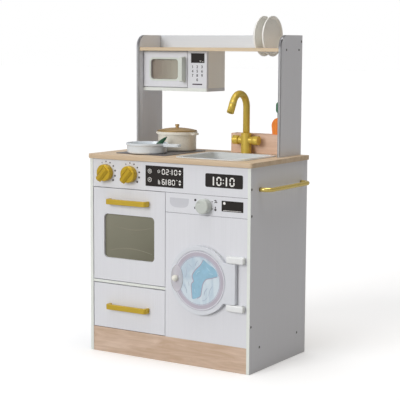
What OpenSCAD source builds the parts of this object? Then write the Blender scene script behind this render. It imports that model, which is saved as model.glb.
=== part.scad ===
// Toy kitchen: a cabinet with an oven, a drawer and a washing machine, a worktop with a hob,
// a sink and a tap, and a hutch with a microwave oven and a shelf for plates.
// Millimetres, +Z up, the front faces -Y. The origin is on the floor, at the middle of the
// footprint. The modules are drawn from the cabinet's own datum: X = 0 at the middle of its
// width, Y = 0 at the front edges of its side panels. placed() moves them to the origin.

/* [Cabinet] */
// Width over the two side panels
cabinet_w = 540; // [510:5:640]
// Depth of the side panels
cabinet_d = 325; // [310:5:400]
// Height of the side panels
cabinet_h = 568; // [550:2:690]
// Thickness of the boards
board_t = 10; // [8:0.5:12]
// Height of the plinth, up to the top of the base board
plinth_h = 72.5; // [50:0.5:90]
// How far the front boards lie behind the side panels' front edges
front_setback = 1.5; // [0.5:0.5:4]
// Height of the board with the controls
control_h = 82; // [70:1:90]
// Thickness of the back panel
back_t = 3; // [2:0.5:5]

/* [Worktop and hob] */
// Thickness of the worktop
worktop_t = 13; // [10:1:18]
// How far the worktop stands out at the front and the sides
worktop_overhang = 5; // [2:1:15]
// Radius of the worktop's front corners
worktop_corner_r = 8; // [2:1:20]
// Width of the hob plate
hob_w = 174; // [140:1:200]
// Depth of the hob plate
hob_d = 220; // [200:1:240]
// Thickness of the hob plate
hob_t = 2; // [1:0.5:4]
// From the left side panel's outer face to the hob plate
hob_left = 56; // [30:1:90]
// From the side panels' front edges to the hob plate
hob_front = 48; // [30:1:60]

/* [Oven and drawer] */
// Height of the drawer's opening
drawer_h = 132.8; // [100:0.2:150]
// Gap round a door and round the drawer's front
front_gap = 1.6; // [1.2:0.1:2.5]
// Thickness of the shelf under the oven
oven_shelf_t = 8.4; // [6:0.2:12]
// Width of the oven window
oven_window_w = 176; // [120:1:190]
// Height of the oven window
oven_window_h = 128; // [90:1:150]
// From the oven door's lower edge to the window
oven_window_low = 66; // [50:1:80]
// Length of the oven and drawer handles
handle_len = 141; // [100:1:180]
// Height of the oven and drawer handles
handle_h = 15; // [10:1:20]
// How far these handles stand out
handle_reach = 22; // [18:1:30]
// Thickness of these handles' bar and legs
handle_t = 9; // [6:0.5:10]
// From the drawer front's top to its handle's middle
drawer_handle_drop = 64; // [40:1:70]
// From the oven door's top to its handle's middle
oven_handle_drop = 37.4; // [25:1:45]
// Depth of the drawer's sides
drawer_d = 285; // [200:5:290]
// Height of the drawer's sides
drawer_side_h = 86; // [50:1:95]
// Thickness of the drawer's sides and back
drawer_side_t = 6; // [4:0.5:8]

/* [Washing machine] */
// Width of the washing machine's front board
washer_w = 267; // [240:1:290]
// Radius of the round door
washer_door_r = 96.5; // [80:0.5:105]
// Thickness of the round door
washer_door_t = 12; // [8:0.5:15]
// From the front board's right edge to the door's middle
washer_door_right = 145.5; // [125:0.5:155]
// Height of the door's middle over the plinth
washer_door_up = 175.5; // [160:0.5:190]
// Radius of the mouth behind the door
washer_mouth_r = 70; // [50:1:75]
// Rim of the round door outside the picture disc
washer_rim = 12.5; // [8:0.5:20]
// Depth of the groove across the front board
groove_depth = 2; // [0.5:0.1:3]
// From the front board's top to that groove
groove_drop = 57; // [50:1:70]

/* [Knobs] */
// Diameter of the oven knobs
oven_knob_dia = 48; // [35:1:55]
// How far the oven knobs stand out
oven_knob_reach = 22; // [12:0.5:25]
// Distance between the oven knobs
oven_knob_pitch = 84.5; // [70:0.5:100]
// From the left side panel's outer face to the first oven knob
oven_knob_left = 57.3; // [45:0.1:80]
// Diameter of the washing machine knob
washer_knob_dia = 41.5; // [30:0.5:45]
// How far the washing machine knob stands out
washer_knob_reach = 22; // [10:1:24]
// From the front board's right edge to the washing machine knob
washer_knob_right = 134.5; // [100:0.5:160]

/* [Hutch] */
// From the side panels' outer faces to the hutch panels'
hutch_inset = 22.5; // [10:0.5:30]
// Depth of the hutch panels
hutch_d = 123; // [100:1:130]
// Height of the hutch panels
hutch_h = 343; // [300:1:400]
// Radius of the hutch panels' front top corners
hutch_corner_r = 34; // [15:1:50]
// From the hutch's top to the top face of the shelf
shelf_drop = 36.4; // [25:0.2:50]
// How far the shelf's front lies behind the panels' front edges
shelf_setback = 2; // [0:0.5:8]
// Width of the microwave oven
micro_w = 225.5; // [200:0.5:260]
// Height of the microwave oven, floor board included
micro_h = 118.6; // [100:0.2:150]
// Depth of the microwave oven
micro_d = 102; // [80:1:110]
// Width of the microwave oven's control board
micro_fascia_w = 66.5; // [55:0.5:80]
// Width of the microwave window
micro_window_w = 98.5; // [70:0.5:105]
// Height of the microwave window
micro_window_h = 60; // [40:0.5:70]

/* [Sink and tap] */
// Width of the sink's rim
sink_w = 227; // [180:1:230]
// Depth of the sink's rim, front to back
sink_d = 220; // [180:1:225]
// Depth of the bowl under the worktop's top
sink_depth = 45; // [30:1:55]
// Corner radius of the rim
sink_r = 32; // [15:1:45]
// Width of the rim's flat
sink_rim = 12; // [8:0.5:20]
// Thickness of the bowl
sink_wall = 3; // [2:0.5:4]
// From the right side panel's outer face to the sink
sink_right = 48; // [35:1:60]
// From the side panels' front edges to the sink
sink_front = 28; // [20:1:40]
// Diameter of the tap's body
tap_body_dia = 30.7; // [24:0.1:36]
// Height of the tap's body
tap_body_h = 60; // [50:1:80]
// Diameter of the spout's pipe
spout_dia = 20; // [16:0.5:22]
// Radius of the spout's bend
spout_bend_r = 40; // [30:1:50]
// From the top of the tap's body to the middle of the bend
spout_rise = 75; // [50:1:90]
// Lean of the nozzle from upright, in degrees
spout_lean = 28; // [10:1:45]
// Length of the spout after the bend
spout_nozzle = 35; // [25:1:45]
// Reach of each tap handle from the tap's middle
tap_handle_reach = 42.5; // [38:0.5:50]

/* [Utensil box and rail] */
// Width of the utensil box
box_w = 204.5; // [150:0.5:205]
// Height of the utensil box
box_h = 56.5; // [40:0.5:70]
// Depth of the utensil box
box_d = 35; // [30:1:40]
// Thickness of the utensil box's boards
box_t = 6; // [4:0.5:7]
// Diameter of the towel rail
rail_dia = 12; // [7:0.5:14]
// How far the rail's middle stands out from the side panel
rail_reach = 31; // [27:1:45]
// Bend radius of the rail
rail_bend_r = 24; // [12:1:26]
// Distance between the rail's two ends
rail_span = 236; // [150:1:240]
// Height of the rail
rail_z = 506; // [400:1:540]

/* [Cookware] */
// Diameter of the pot
pot_dia = 114; // [90:1:120]
// Height of the pot
pot_h = 56.5; // [35:0.5:60]
// Wall of the pot and the pan
pot_wall = 3; // [2:0.5:4]
// Diameter of the frying pan's rim
pan_dia = 122; // [95:1:125]
// Height of the frying pan
pan_h = 29.4; // [20:0.2:36]
// Length of the frying pan's handle
pan_handle_len = 54; // [40:1:60]
// Diameter of the plates
plate_dia = 115; // [90:1:116]
// Thickness of the plates over their rims
plate_t = 8; // [6:0.5:10]
// Distance between the plates
plate_pitch = 28; // [20:1:35]
// Length of the shelf's slots for the plates
slot_len = 94; // [70:1:96]

/* [Hidden] */
$fn = 96;

// Clearances
running = 0.05;        // radial, between a pin or a shaft and its hole
loose = 0.3;           // between pieces that lie on or in each other
corner_gap = 0.4;      // left where a door's corner turns past its neighbour
drawer_play = 0.5;     // beside and under the drawer's box
over = 1;              // how far a cutting shape runs past the face that it cuts

// Levels and planes of the cabinet
half_w = cabinet_w / 2;
inner_x = half_w - board_t;
front_y = front_setback;
inside_y = front_y + board_t;
back_y = cabinet_d - back_t;
washer_x0 = inner_x - washer_w;
shelf_z0 = plinth_h + drawer_h;
oven_z0 = shelf_z0 + oven_shelf_t;
control_z0 = cabinet_h - control_h;
worktop_z = cabinet_h + worktop_t;
control_mid_z = control_z0 + 0.52 * control_h;

// Doors: a pin at mid thickness, far enough in for the door's corner to turn
pin_r = 2;
pin_in_door = 14;
pin_in_board = 6;
function pivot_in(t) = (t * t / 4 + front_gap * front_gap - corner_gap * corner_gap)
    / (2 * (front_gap - corner_gap));
pivot = pivot_in(board_t);
pin_y = front_y + board_t / 2;
oven_x0 = -inner_x + front_gap;
oven_x1 = washer_x0 - front_gap;
oven_door_z0 = oven_z0 + front_gap;
oven_door_z1 = control_z0 - front_gap;
oven_pin_z = oven_z0 + pivot;
oven_mid_x = (oven_x0 + oven_x1) / 2;
window_r = 12;
window_t = 3;
window_lap = 8;
handle_mid_x = oven_mid_x + 1;

// Drawer
drawer_z0 = plinth_h + front_gap;
drawer_z1 = shelf_z0 - front_gap;
drawer_box_x0 = -inner_x + drawer_play;
drawer_box_x1 = washer_x0 - drawer_play;
drawer_box_z0 = plinth_h + drawer_play;
drawer_bottom_t = 4;
drawer_bottom_up = 6;

// Washing machine door
washer_mid_x = inner_x - washer_door_right;
washer_mid_z = plinth_h + washer_door_up;
washer_door_gap = 2.5;
washer_door_y1 = front_y - washer_door_gap;
washer_door_y0 = washer_door_y1 - washer_door_t;
washer_pin_y = (washer_door_y0 + washer_door_y1) / 2;
washer_pin_x = washer_mid_x + washer_door_r + 14.4;
washer_ear_x1 = washer_pin_x + 5;
washer_ear_h = 113;
block_gap = 0.5;
block_h = 19.4;
block_reach = 16;
block_x0 = washer_pin_x - 24.4;
block_x1 = washer_pin_x + 31;
latch_x = washer_mid_x - washer_door_r + 24;
latch_w = 40;
latch_h = 76;
latch_t = 1.5;
latch_knob_x = washer_mid_x - washer_door_r + 19.5;
picture_r = washer_door_r - washer_rim;
latch_knob_r = 9.5;
picture_t = 2;

// Knobs
shaft_r = 4;
shaft_past = 8;
knob_gap = 0.5;
washer_knob_x = inner_x - washer_knob_right;
washer_knob_z = control_z0 - 30.7;

// Hutch
hutch_half = half_w - hutch_inset;
hutch_in = hutch_half - board_t;
hutch_y0 = cabinet_d - hutch_d;
hutch_z1 = worktop_z + hutch_h;
shelf_z1 = hutch_z1 - shelf_drop;
shelf_under = shelf_z1 - board_t;
shelf_y0 = hutch_y0 + shelf_setback;
micro_x1 = -hutch_in + micro_w;
micro_y0 = cabinet_d - micro_d;
micro_y1 = micro_y0 + board_t;
micro_z0 = shelf_under - micro_h;
micro_z1 = micro_z0 + board_t;
fascia_x0 = micro_x1 - micro_fascia_w;
micro_door_x0 = -hutch_in + front_gap;
micro_door_x1 = fascia_x0 - front_gap;
micro_door_z0 = micro_z1 + front_gap;
micro_door_z1 = shelf_under - front_gap;
micro_door_mid_z = (micro_door_z0 + micro_door_z1) / 2;
micro_pin_x = -hutch_in + pivot;
micro_pin_y = micro_y0 + board_t / 2;
micro_window_x0 = micro_door_x0 + 25.4;
micro_window_r = 10;
micro_handle_x0 = micro_window_x0 + micro_window_w + 15.5;
micro_handle_w = 11;
micro_handle_h = 76;
micro_handle_reach = 21;

// Sink and tap
sink_mid_x = half_w - sink_right - sink_w / 2;
sink_mid_y = sink_front + sink_d / 2;
sink_lip = 2.5;
bowl_w = sink_w - 2 * sink_rim;
bowl_d = sink_d - 2 * sink_rim;
bowl_r = sink_r - sink_rim;
drain_r = 18;
drain_t = 1.5;
tap_x = sink_mid_x - 11;
tap_y = sink_front + sink_d + tap_body_dia / 2 + 4.5;
tap_top = worktop_z + tap_body_h;
tap_stub_r = 6;
tap_stub_len = worktop_t + 10;
tap_cross_z = worktop_z + 0.65 * tap_body_h;
tap_neck_r = 10.6;
tap_neck_x = 24;
tap_handle_r = 13.3;
tap_shaft_r = 3.5;
spout_pin_r = 8;
spout_pin_len = 9;
spout_bend_z = tap_top + spout_rise;

// Utensil box
box_x1 = hutch_in;
box_x0 = box_x1 - box_w;
box_y0 = cabinet_d - box_d;
box_z1 = worktop_z + box_h;

// Towel rail
rail_mid_y = cabinet_d / 2 + 5;

// Cookware
hob_x0 = -half_w + hob_left;
hob_top = worktop_z + hob_t;
pan_x = hob_x0 + hob_w / 2 - 8;
pan_y = hob_front + 48;
pot_x = hob_x0 + hob_w / 2 + 10.5;
pot_y = hob_front + hob_d - 42;
pot_bottom = hob_top + loose;
pot_top = pot_bottom + pot_h;
lid_dome = 8;
lid_knob_h = 10;
pan_rim_z = pot_bottom + pan_h;
plate_gap = 1.5;
plate_mid_x = hutch_in - 65.5;
plate_y = cabinet_d - board_t - plate_gap - plate_dia / 2;
plate_rest = sqrt(plate_dia * plate_dia / 4 - slot_len * slot_len / 4);
plate_z = shelf_z1 + plate_rest + loose;
slot_w = plate_t + 2.5;
carrot_x = box_x1 - 50.5;
carrot_w = 46;
carrot_t = 19;
carrot_y = box_y0 + box_t + (box_d - 2 * box_t) / 2;
carrot_top = box_z1 + 49;

// Footprint, which the origin is the middle of
foot_x0 = -half_w - worktop_overhang;
foot_x1 = half_w + rail_reach + rail_dia / 2;
latch_y0 = washer_door_y0 - latch_t - 1.2 * latch_knob_r;
handle_y0 = front_y - handle_reach;
knob_y0 = front_y - knob_gap - oven_knob_reach;
foot_y0 = min(latch_y0, handle_y0, knob_y0, -worktop_overhang);
foot_y1 = cabinet_d;

module placed() {
    translate([-(foot_x0 + foot_x1) / 2, -(foot_y0 + foot_y1) / 2, 0]) children();
}

// A box between two corners
module block(x, y, z) {
    translate([x[0], y[0], z[0]]) cube([x[1] - x[0], y[1] - y[0], z[1] - z[0]]);
}

// Round bars along each axis
module bar_x(x0, x1, y, z, r) {
    translate([x0, y, z]) rotate([0, 90, 0]) cylinder(h = x1 - x0, r = r);
}
module bar_y(y0, y1, x, z, r) {
    translate([x, y0, z]) rotate([-90, 0, 0]) cylinder(h = y1 - y0, r = r);
}
module bar_z(z0, z1, x, y, r) {
    translate([x, y, z0]) cylinder(h = z1 - z0, r = r);
}

// A rectangle with round corners, about its middle
module rounded(w, d, r) {
    square([w - 2 * r, d], center = true);
    square([w, d - 2 * r], center = true);
    for (sx = [-1, 1], sy = [-1, 1]) {
        translate([sx * (w / 2 - r), sy * (d / 2 - r)]) circle(r = r);
    }
}

// The same outline as an upright slab from y0 to y1, about (x, z)
module upright_slab(x, z, w, h, r, y0, y1) {
    translate([x, y1, z]) rotate([90, 0, 0]) linear_extrude(height = y1 - y0) rounded(w, h, r);
}

// Screw places on a side board: [y, z]
right_screws = [[5.5, 509.5], [7, 437], [8, 132], [56, 67.5], [274, 67.5]];
hutch_screw_z = shelf_under + board_t / 2;
hutch_screws = [[hutch_y0 + 29, hutch_screw_z], [hutch_y0 + 103, hutch_screw_z],
    [cabinet_d - board_t / 2, (shelf_z1 + hutch_z1) / 2]];
screw_r = 3.4;
screw_t = 1.2;
screw_hole_r = 3.6;
screw_shank_r = 1.5;

// Holes for the screws of one board whose outer face is at x, on the side s
module screw_holes(x, s, places) {
    for (p = places) {
        bar_x(min(x, x - s * screw_t), max(x, x - s * screw_t) + over * (s > 0 ? 1 : 0),
            p[0], p[1], screw_hole_r);
        bar_x(min(x, x - s * (board_t - over)), max(x, x - s * (board_t - over)),
            p[0], p[1], screw_hole_r / 2);
        if (s < 0) {
            bar_x(x - over, x, p[0], p[1], screw_hole_r);
        }
    }
}

module screws(x, s, places) {
    for (p = places) {
        bar_x(min(x, x - s * screw_t), max(x, x - s * screw_t), p[0], p[1], screw_r);
        bar_x(min(x, x - s * (board_t - 2 * over)), max(x, x - s * (board_t - 2 * over)),
            p[0], p[1], screw_shank_r);
    }
}

// ---- cabinet ----

module left_side_panel() {
    color("#d6d7db") placed() difference() {
        block([-half_w, -inner_x], [0, cabinet_d], [0, cabinet_h]);
        bar_x(-inner_x - pin_in_board - loose, -inner_x + over, pin_y, oven_pin_z, pin_r + running);
        screw_holes(-half_w, -1, right_screws);
    }
}

module right_side_panel() {
    color("#d6d7db") placed() difference() {
        block([inner_x, half_w], [0, cabinet_d], [0, cabinet_h]);
        screw_holes(half_w, 1, right_screws);
    }
}

module plinth_board() {
    color("#c8af98") placed() block([-inner_x, inner_x], [front_y, inside_y], [0, plinth_h]);
}

module base_board() {
    color("#c8af98") placed()
        block([-inner_x, inner_x], [inside_y, back_y], [plinth_h - board_t, plinth_h]);
}

module centre_divider() {
    color("#d6d7db") placed()
        block([washer_x0, washer_x0 + board_t], [inside_y, back_y], [plinth_h, control_z0]);
}

module oven_shelf() {
    color("#d6d7db") placed()
        block([-inner_x, washer_x0], [front_y, back_y], [shelf_z0, oven_z0]);
}

module control_panel() {
    color("#d6d7db") placed() difference() {
        block([-inner_x, inner_x], [front_y, inside_y], [control_z0, cabinet_h]);
        for (i = [0, 1]) {
            bar_y(front_y - over, inside_y + over,
                -half_w + oven_knob_left + i * oven_knob_pitch, control_mid_z, shaft_r + running);
        }
    }
}

module washer_front_panel() {
    color("#d6d7db") placed() difference() {
        block([washer_x0, inner_x], [front_y, inside_y], [plinth_h, control_z0]);
        bar_y(front_y - over, inside_y + over, washer_mid_x, washer_mid_z, washer_mouth_r);
        bar_y(front_y - over, inside_y + over, washer_knob_x, washer_knob_z, shaft_r + running);
        bar_x(washer_x0 - over, washer_x0 + pin_in_board + loose, pin_y, oven_pin_z,
            pin_r + running);
        block([washer_x0 - over, inner_x + over], [front_y - over, front_y + groove_depth],
            [control_z0 - groove_drop - 0.8, control_z0 - groove_drop + 0.8]);
    }
}

module cabinet_back_panel() {
    color("#c9b49a") placed()
        block([-inner_x, inner_x], [back_y, cabinet_d], [plinth_h - board_t, cabinet_h]);
}

module panel_screws() {
    color("#555555") placed() {
        screws(half_w, 1, right_screws);
        screws(-half_w, -1, right_screws);
        screws(hutch_half, 1, hutch_screws);
        screws(-hutch_half, -1, hutch_screws);
    }
}

// One catch behind the oven door, on the divider, and one behind the microwave door
module door_catches() {
    catch_w = 6;
    catch_d = 12;
    catch_h = 14;
    color("#e8e8e8") placed() {
        block([washer_x0 - catch_w, washer_x0], [inside_y + loose, inside_y + loose + catch_d],
            [control_z0 - 2 * catch_h, control_z0 - catch_h]);
        block([fascia_x0 - catch_w, fascia_x0], [micro_y1 + loose, micro_y1 + loose + catch_d],
            [shelf_under - catch_h, shelf_under]);
    }
}

module towel_rail() {
    y0 = rail_mid_y - rail_span / 2;
    y1 = rail_mid_y + rail_span / 2;
    x1 = half_w + rail_reach;
    r = rail_dia / 2;
    color("#c8aa3c") placed() {
        bar_x(half_w, x1 - rail_bend_r, y0, rail_z, r);
        bar_x(half_w, x1 - rail_bend_r, y1, rail_z, r);
        bar_y(y0 + rail_bend_r, y1 - rail_bend_r, x1, rail_z, r);
        translate([x1 - rail_bend_r, y0 + rail_bend_r, rail_z]) rotate([0, 0, -90])
            rotate_extrude(angle = 90) translate([rail_bend_r, 0]) circle(r = r);
        translate([x1 - rail_bend_r, y1 - rail_bend_r, rail_z])
            rotate_extrude(angle = 90) translate([rail_bend_r, 0]) circle(r = r);
    }
}

// ---- worktop ----

module worktop() {
    x1 = half_w + worktop_overhang;
    y0 = -worktop_overhang;
    r = worktop_corner_r;
    color("#d2b795") placed() difference() {
        translate([0, 0, cabinet_h]) linear_extrude(height = worktop_t) {
            translate([-x1, y0 + r]) square([2 * x1, cabinet_d - y0 - r]);
            translate([-x1 + r, y0]) square([2 * (x1 - r), cabinet_d - y0]);
            for (s = [-1, 1]) {
                translate([s * (x1 - r), y0 + r]) circle(r = r);
            }
        }
        translate([sink_mid_x, sink_mid_y, cabinet_h - over])
            linear_extrude(height = worktop_t + 2 * over)
            rounded(bowl_w + 2 * loose, bowl_d + 2 * loose, bowl_r + loose);
        bar_z(cabinet_h - over, worktop_z + over, tap_x, tap_y, tap_stub_r + loose);
    }
}

module hob_plate() {
    color("#504b4b") placed()
        translate([hob_x0 + hob_w / 2, hob_front + hob_d / 2, worktop_z])
        linear_extrude(height = hob_t) rounded(hob_w, hob_d, 6);
}

module sink_basin() {
    bottom = worktop_z - sink_depth;
    color("#e4e6e6") placed() translate([sink_mid_x, sink_mid_y, 0]) difference() {
        union() {
            translate([0, 0, worktop_z]) linear_extrude(height = sink_lip)
                rounded(sink_w, sink_d, sink_r);
            translate([0, 0, bottom]) linear_extrude(height = sink_depth)
                rounded(bowl_w, bowl_d, bowl_r);
        }
        translate([0, 0, bottom + sink_wall]) linear_extrude(height = sink_depth + sink_lip)
            rounded(bowl_w - 2 * sink_wall, bowl_d - 2 * sink_wall, bowl_r - sink_wall);
    }
}

module sink_drain() {
    z = worktop_z - sink_depth + sink_wall;
    color("#b0b0b0") placed() difference() {
        bar_z(z, z + drain_t, sink_mid_x, sink_mid_y, drain_r);
        for (a = [0 : 60 : 300]) {
            bar_z(z - over, z + drain_t + over, sink_mid_x + 9 * cos(a), sink_mid_y + 9 * sin(a), 2);
        }
    }
}

module tap_body() {
    color("#b4963c") placed() difference() {
        union() {
            bar_z(worktop_z, tap_top, tap_x, tap_y, tap_body_dia / 2);
            bar_z(worktop_z - tap_stub_len, worktop_z, tap_x, tap_y, tap_stub_r);
            bar_x(tap_x - tap_neck_x, tap_x + tap_neck_x, tap_y, tap_cross_z, tap_neck_r);
        }
        bar_z(tap_top - spout_pin_len - loose, tap_top + over, tap_x, tap_y,
            spout_pin_r + running);
        for (s = [-1, 1]) {
            bar_x(tap_x + s * tap_neck_x - (s > 0 ? tap_neck_x - 8 : over),
                tap_x + s * tap_neck_x + (s > 0 ? over : tap_neck_x - 8),
                tap_y, tap_cross_z, tap_shaft_r + running);
        }
    }
}

module tap_spout() {
    color("#b4963c") placed() difference() {
        union() {
            bar_z(tap_top - spout_pin_len, tap_top + over, tap_x, tap_y, spout_pin_r);
            bar_z(tap_top + loose, spout_bend_z, tap_x, tap_y, spout_dia / 2);
            translate([tap_x, tap_y - spout_bend_r, spout_bend_z]) rotate([90, 0, 90])
                rotate_extrude(angle = 180 - spout_lean)
                translate([spout_bend_r, 0]) circle(r = spout_dia / 2);
            spout_end() translate([0, 0, -over])
                cylinder(h = spout_nozzle + over, r = spout_dia / 2 + 0.5);
        }
        spout_end() translate([0, 0, 0.6 * spout_nozzle])
            cylinder(h = spout_nozzle, r = spout_dia / 2 - 2.5);
    }
}

// Moves its children to the end of the spout's bend, with their +Z along the nozzle
module spout_end() {
    translate([tap_x, tap_y - spout_bend_r, spout_bend_z]) rotate([-spout_lean, 0, 0])
        translate([0, -spout_bend_r, 0]) rotate([180, 0, 0]) children();
}

module tap_handle(s) {
    x0 = tap_x + s * (tap_neck_x + loose);
    color("#b4963c") placed() translate([x0, tap_y, tap_cross_z]) rotate([0, s * 90, 0]) {
        reach = tap_handle_reach - tap_neck_x - loose;
        difference() {
            cylinder(h = reach, r = tap_handle_r);
            translate([0, 0, 2.5]) rotate_extrude() translate([tap_handle_r, 0]) circle(r = 0.8);
        }
        translate([0, 0, -tap_neck_x + 10]) cylinder(h = tap_neck_x - 10 + over, r = tap_shaft_r);
    }
}

module tap_handle_left() {
    tap_handle(-1);
}

module tap_handle_right() {
    tap_handle(1);
}

// ---- hutch ----

module hutch_panel(s) {
    r = hutch_corner_r;
    color("#d6d7db") placed() difference() {
        translate([s > 0 ? hutch_in : -hutch_half, 0, 0]) rotate([90, 0, 90])
            linear_extrude(height = board_t) {
                translate([hutch_y0, worktop_z]) square([hutch_d, hutch_h - r]);
                translate([hutch_y0 + r, worktop_z]) square([hutch_d - r, hutch_h]);
                translate([hutch_y0 + r, hutch_z1 - r]) circle(r = r);
            }
        screw_holes(s * hutch_half, s, hutch_screws);
    }
}

module hutch_left_panel() {
    hutch_panel(-1);
}

module hutch_right_panel() {
    hutch_panel(1);
}

module top_shelf() {
    color("#dac4a4") placed() difference() {
        block([-hutch_in, hutch_in], [shelf_y0, cabinet_d], [shelf_under, shelf_z1]);
        for (s = [-1, 1]) {
            x = plate_mid_x + s * plate_pitch / 2;
            block([x - slot_w / 2, x + slot_w / 2],
                [plate_y - slot_len / 2, plate_y + slot_len / 2],
                [shelf_under - over, shelf_z1 + over]);
        }
        bar_z(shelf_under - over, shelf_under + pin_in_board + loose, micro_pin_x, micro_pin_y,
            pin_r + running);
    }
}

module hutch_back_rail() {
    color("#d6d7db") placed()
        block([-hutch_in, hutch_in], [cabinet_d - board_t, cabinet_d], [shelf_z1, hutch_z1]);
}

module microwave_floor() {
    color("#d6d7db") placed() difference() {
        block([-hutch_in, micro_x1], [micro_y0, cabinet_d], [micro_z0, micro_z1]);
        bar_z(micro_z1 - pin_in_board - loose, micro_z1 + over, micro_pin_x, micro_pin_y,
            pin_r + running);
    }
}

module microwave_side() {
    color("#d6d7db") placed()
        block([micro_x1 - board_t, micro_x1], [micro_y1, cabinet_d], [micro_z1, shelf_under]);
}

module microwave_back() {
    color("#d6d7db") placed()
        block([-hutch_in, micro_x1 - board_t], [cabinet_d - back_t, cabinet_d],
            [micro_z1, shelf_under]);
}

module microwave_fascia() {
    color("#d6d7db") placed()
        block([fascia_x0, micro_x1], [micro_y0, micro_y1], [micro_z1, shelf_under]);
}

module utensil_box_front() {
    color("#c9a88c") placed()
        block([box_x0, box_x1], [box_y0, box_y0 + box_t], [worktop_z, box_z1]);
}

module utensil_box_end() {
    color("#c9a88c") placed()
        block([box_x0, box_x0 + box_t], [box_y0 + box_t, cabinet_d], [worktop_z, box_z1]);
}

module utensil_box_back() {
    color("#c9a88c") placed()
        block([box_x0 + box_t, box_x1], [cabinet_d - box_t, cabinet_d], [worktop_z, box_z1]);
}

// ---- oven door and drawer ----

// A bow handle about (x, z) on the face at y
module bow_handle(x, z, y) {
    r = handle_t;
    inner_r = 3;
    color("#c8aa3c") placed() translate([x, y, z - handle_h / 2])
        linear_extrude(height = handle_h) difference() {
            intersection() {
                translate([0, -handle_reach / 2 + r / 2]) rounded(handle_len, handle_reach + r, r);
                translate([-handle_len, -handle_reach]) square([2 * handle_len, handle_reach]);
            }
            translate([0, (handle_t - handle_reach) / 2 + inner_r / 2 + handle_t / 2])
                rounded(handle_len - 2 * handle_t, handle_reach + inner_r, inner_r);
        }
}

module oven_door_panel() {
    x = oven_mid_x;
    z = oven_door_z0 + oven_window_low + oven_window_h / 2;
    color("#d6d7db") placed() difference() {
        block([oven_x0, oven_x1], [front_y, inside_y], [oven_door_z0, oven_door_z1]);
        upright_slab(x, z, oven_window_w, oven_window_h, window_r, front_y - over, inside_y + over);
        upright_slab(x, z, oven_window_w + 2 * window_lap, oven_window_h + 2 * window_lap,
            window_r, inside_y - window_t, inside_y + over);
        bar_x(oven_x0 - over, oven_x0 + pin_in_door, pin_y, oven_pin_z, pin_r);
        bar_x(oven_x1 - pin_in_door, oven_x1 + over, pin_y, oven_pin_z, pin_r);
    }
}

module oven_window() {
    z = oven_door_z0 + oven_window_low + oven_window_h / 2;
    lap = 2 * (window_lap - loose);
    color("#7d7a69") placed()
        upright_slab(oven_mid_x, z, oven_window_w + lap, oven_window_h + lap, window_r - loose,
            inside_y - window_t, inside_y);
}

module oven_handle() {
    bow_handle(handle_mid_x, oven_door_z1 - oven_handle_drop, front_y);
}

module oven_hinge_pins() {
    color("#999999") placed() {
        bar_x(-inner_x - pin_in_board, oven_x0 + pin_in_door, pin_y, oven_pin_z, pin_r);
        bar_x(oven_x1 - pin_in_door, washer_x0 + pin_in_board, pin_y, oven_pin_z, pin_r);
    }
}

module drawer_front() {
    color("#d6d7db") placed()
        block([oven_x0, oven_x1], [front_y, inside_y], [drawer_z0, drawer_z1]);
}

module drawer_sides() {
    z1 = drawer_box_z0 + drawer_side_h;
    color("#d8c8ac") placed() {
        block([drawer_box_x0, drawer_box_x0 + drawer_side_t], [inside_y, inside_y + drawer_d],
            [drawer_box_z0, z1]);
        block([drawer_box_x1 - drawer_side_t, drawer_box_x1], [inside_y, inside_y + drawer_d],
            [drawer_box_z0, z1]);
    }
}

module drawer_back() {
    y1 = inside_y + drawer_d;
    color("#d8c8ac") placed()
        block([drawer_box_x0 + drawer_side_t, drawer_box_x1 - drawer_side_t],
            [y1 - drawer_side_t, y1], [drawer_box_z0, drawer_box_z0 + drawer_side_h]);
}

module drawer_bottom() {
    z0 = drawer_box_z0 + drawer_bottom_up;
    color("#d8c8ac") placed()
        block([drawer_box_x0 + drawer_side_t, drawer_box_x1 - drawer_side_t],
            [inside_y, inside_y + drawer_d - drawer_side_t], [z0, z0 + drawer_bottom_t]);
}

module drawer_handle() {
    bow_handle(handle_mid_x, drawer_z1 - drawer_handle_drop, front_y);
}

// ---- microwave door ----

module microwave_door_panel() {
    x = micro_window_x0 + micro_window_w / 2;
    z = micro_door_mid_z;
    color("#d6d7db") placed() difference() {
        block([micro_door_x0, micro_door_x1], [micro_y0, micro_y1],
            [micro_door_z0, micro_door_z1]);
        upright_slab(x, z, micro_window_w, micro_window_h, micro_window_r,
            micro_y0 - over, micro_y1 + over);
        upright_slab(x, z, micro_window_w + window_lap, micro_window_h + window_lap,
            micro_window_r, micro_y1 - window_t, micro_y1 + over);
        bar_z(micro_door_z0 - over, micro_door_z0 + pin_in_door, micro_pin_x, micro_pin_y, pin_r);
        bar_z(micro_door_z1 - pin_in_door, micro_door_z1 + over, micro_pin_x, micro_pin_y, pin_r);
    }
}

module microwave_window() {
    x = micro_window_x0 + micro_window_w / 2;
    lap = window_lap - 2 * loose;
    color("#9aa0a0") placed()
        upright_slab(x, micro_door_mid_z, micro_window_w + lap, micro_window_h + lap,
            micro_window_r - loose, micro_y1 - window_t, micro_y1);
}

// A flat grip on edge, a little shorter at its front than where it meets the door
module microwave_handle() {
    h = micro_handle_h / 2;
    slant = 4;
    color("#e4e6e8") placed() translate([micro_handle_x0, micro_y0, micro_door_mid_z])
        rotate([90, 0, 90]) linear_extrude(height = micro_handle_w)
        polygon([[0, -h], [0, h], [-micro_handle_reach, h - slant],
            [-micro_handle_reach, slant - h]]);
}

module microwave_hinge_pins() {
    color("#999999") placed() {
        bar_z(micro_z1 - pin_in_board, micro_door_z0 + pin_in_door, micro_pin_x, micro_pin_y,
            pin_r);
        bar_z(micro_door_z1 - pin_in_door, shelf_under + pin_in_board, micro_pin_x,
            micro_pin_y, pin_r);
    }
}

// ---- washing machine door ----

// Where each hinge block starts, above and below the door's ear
block_z = [washer_mid_z + washer_ear_h / 2 + block_gap,
    washer_mid_z - washer_ear_h / 2 - block_gap - block_h];

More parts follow.
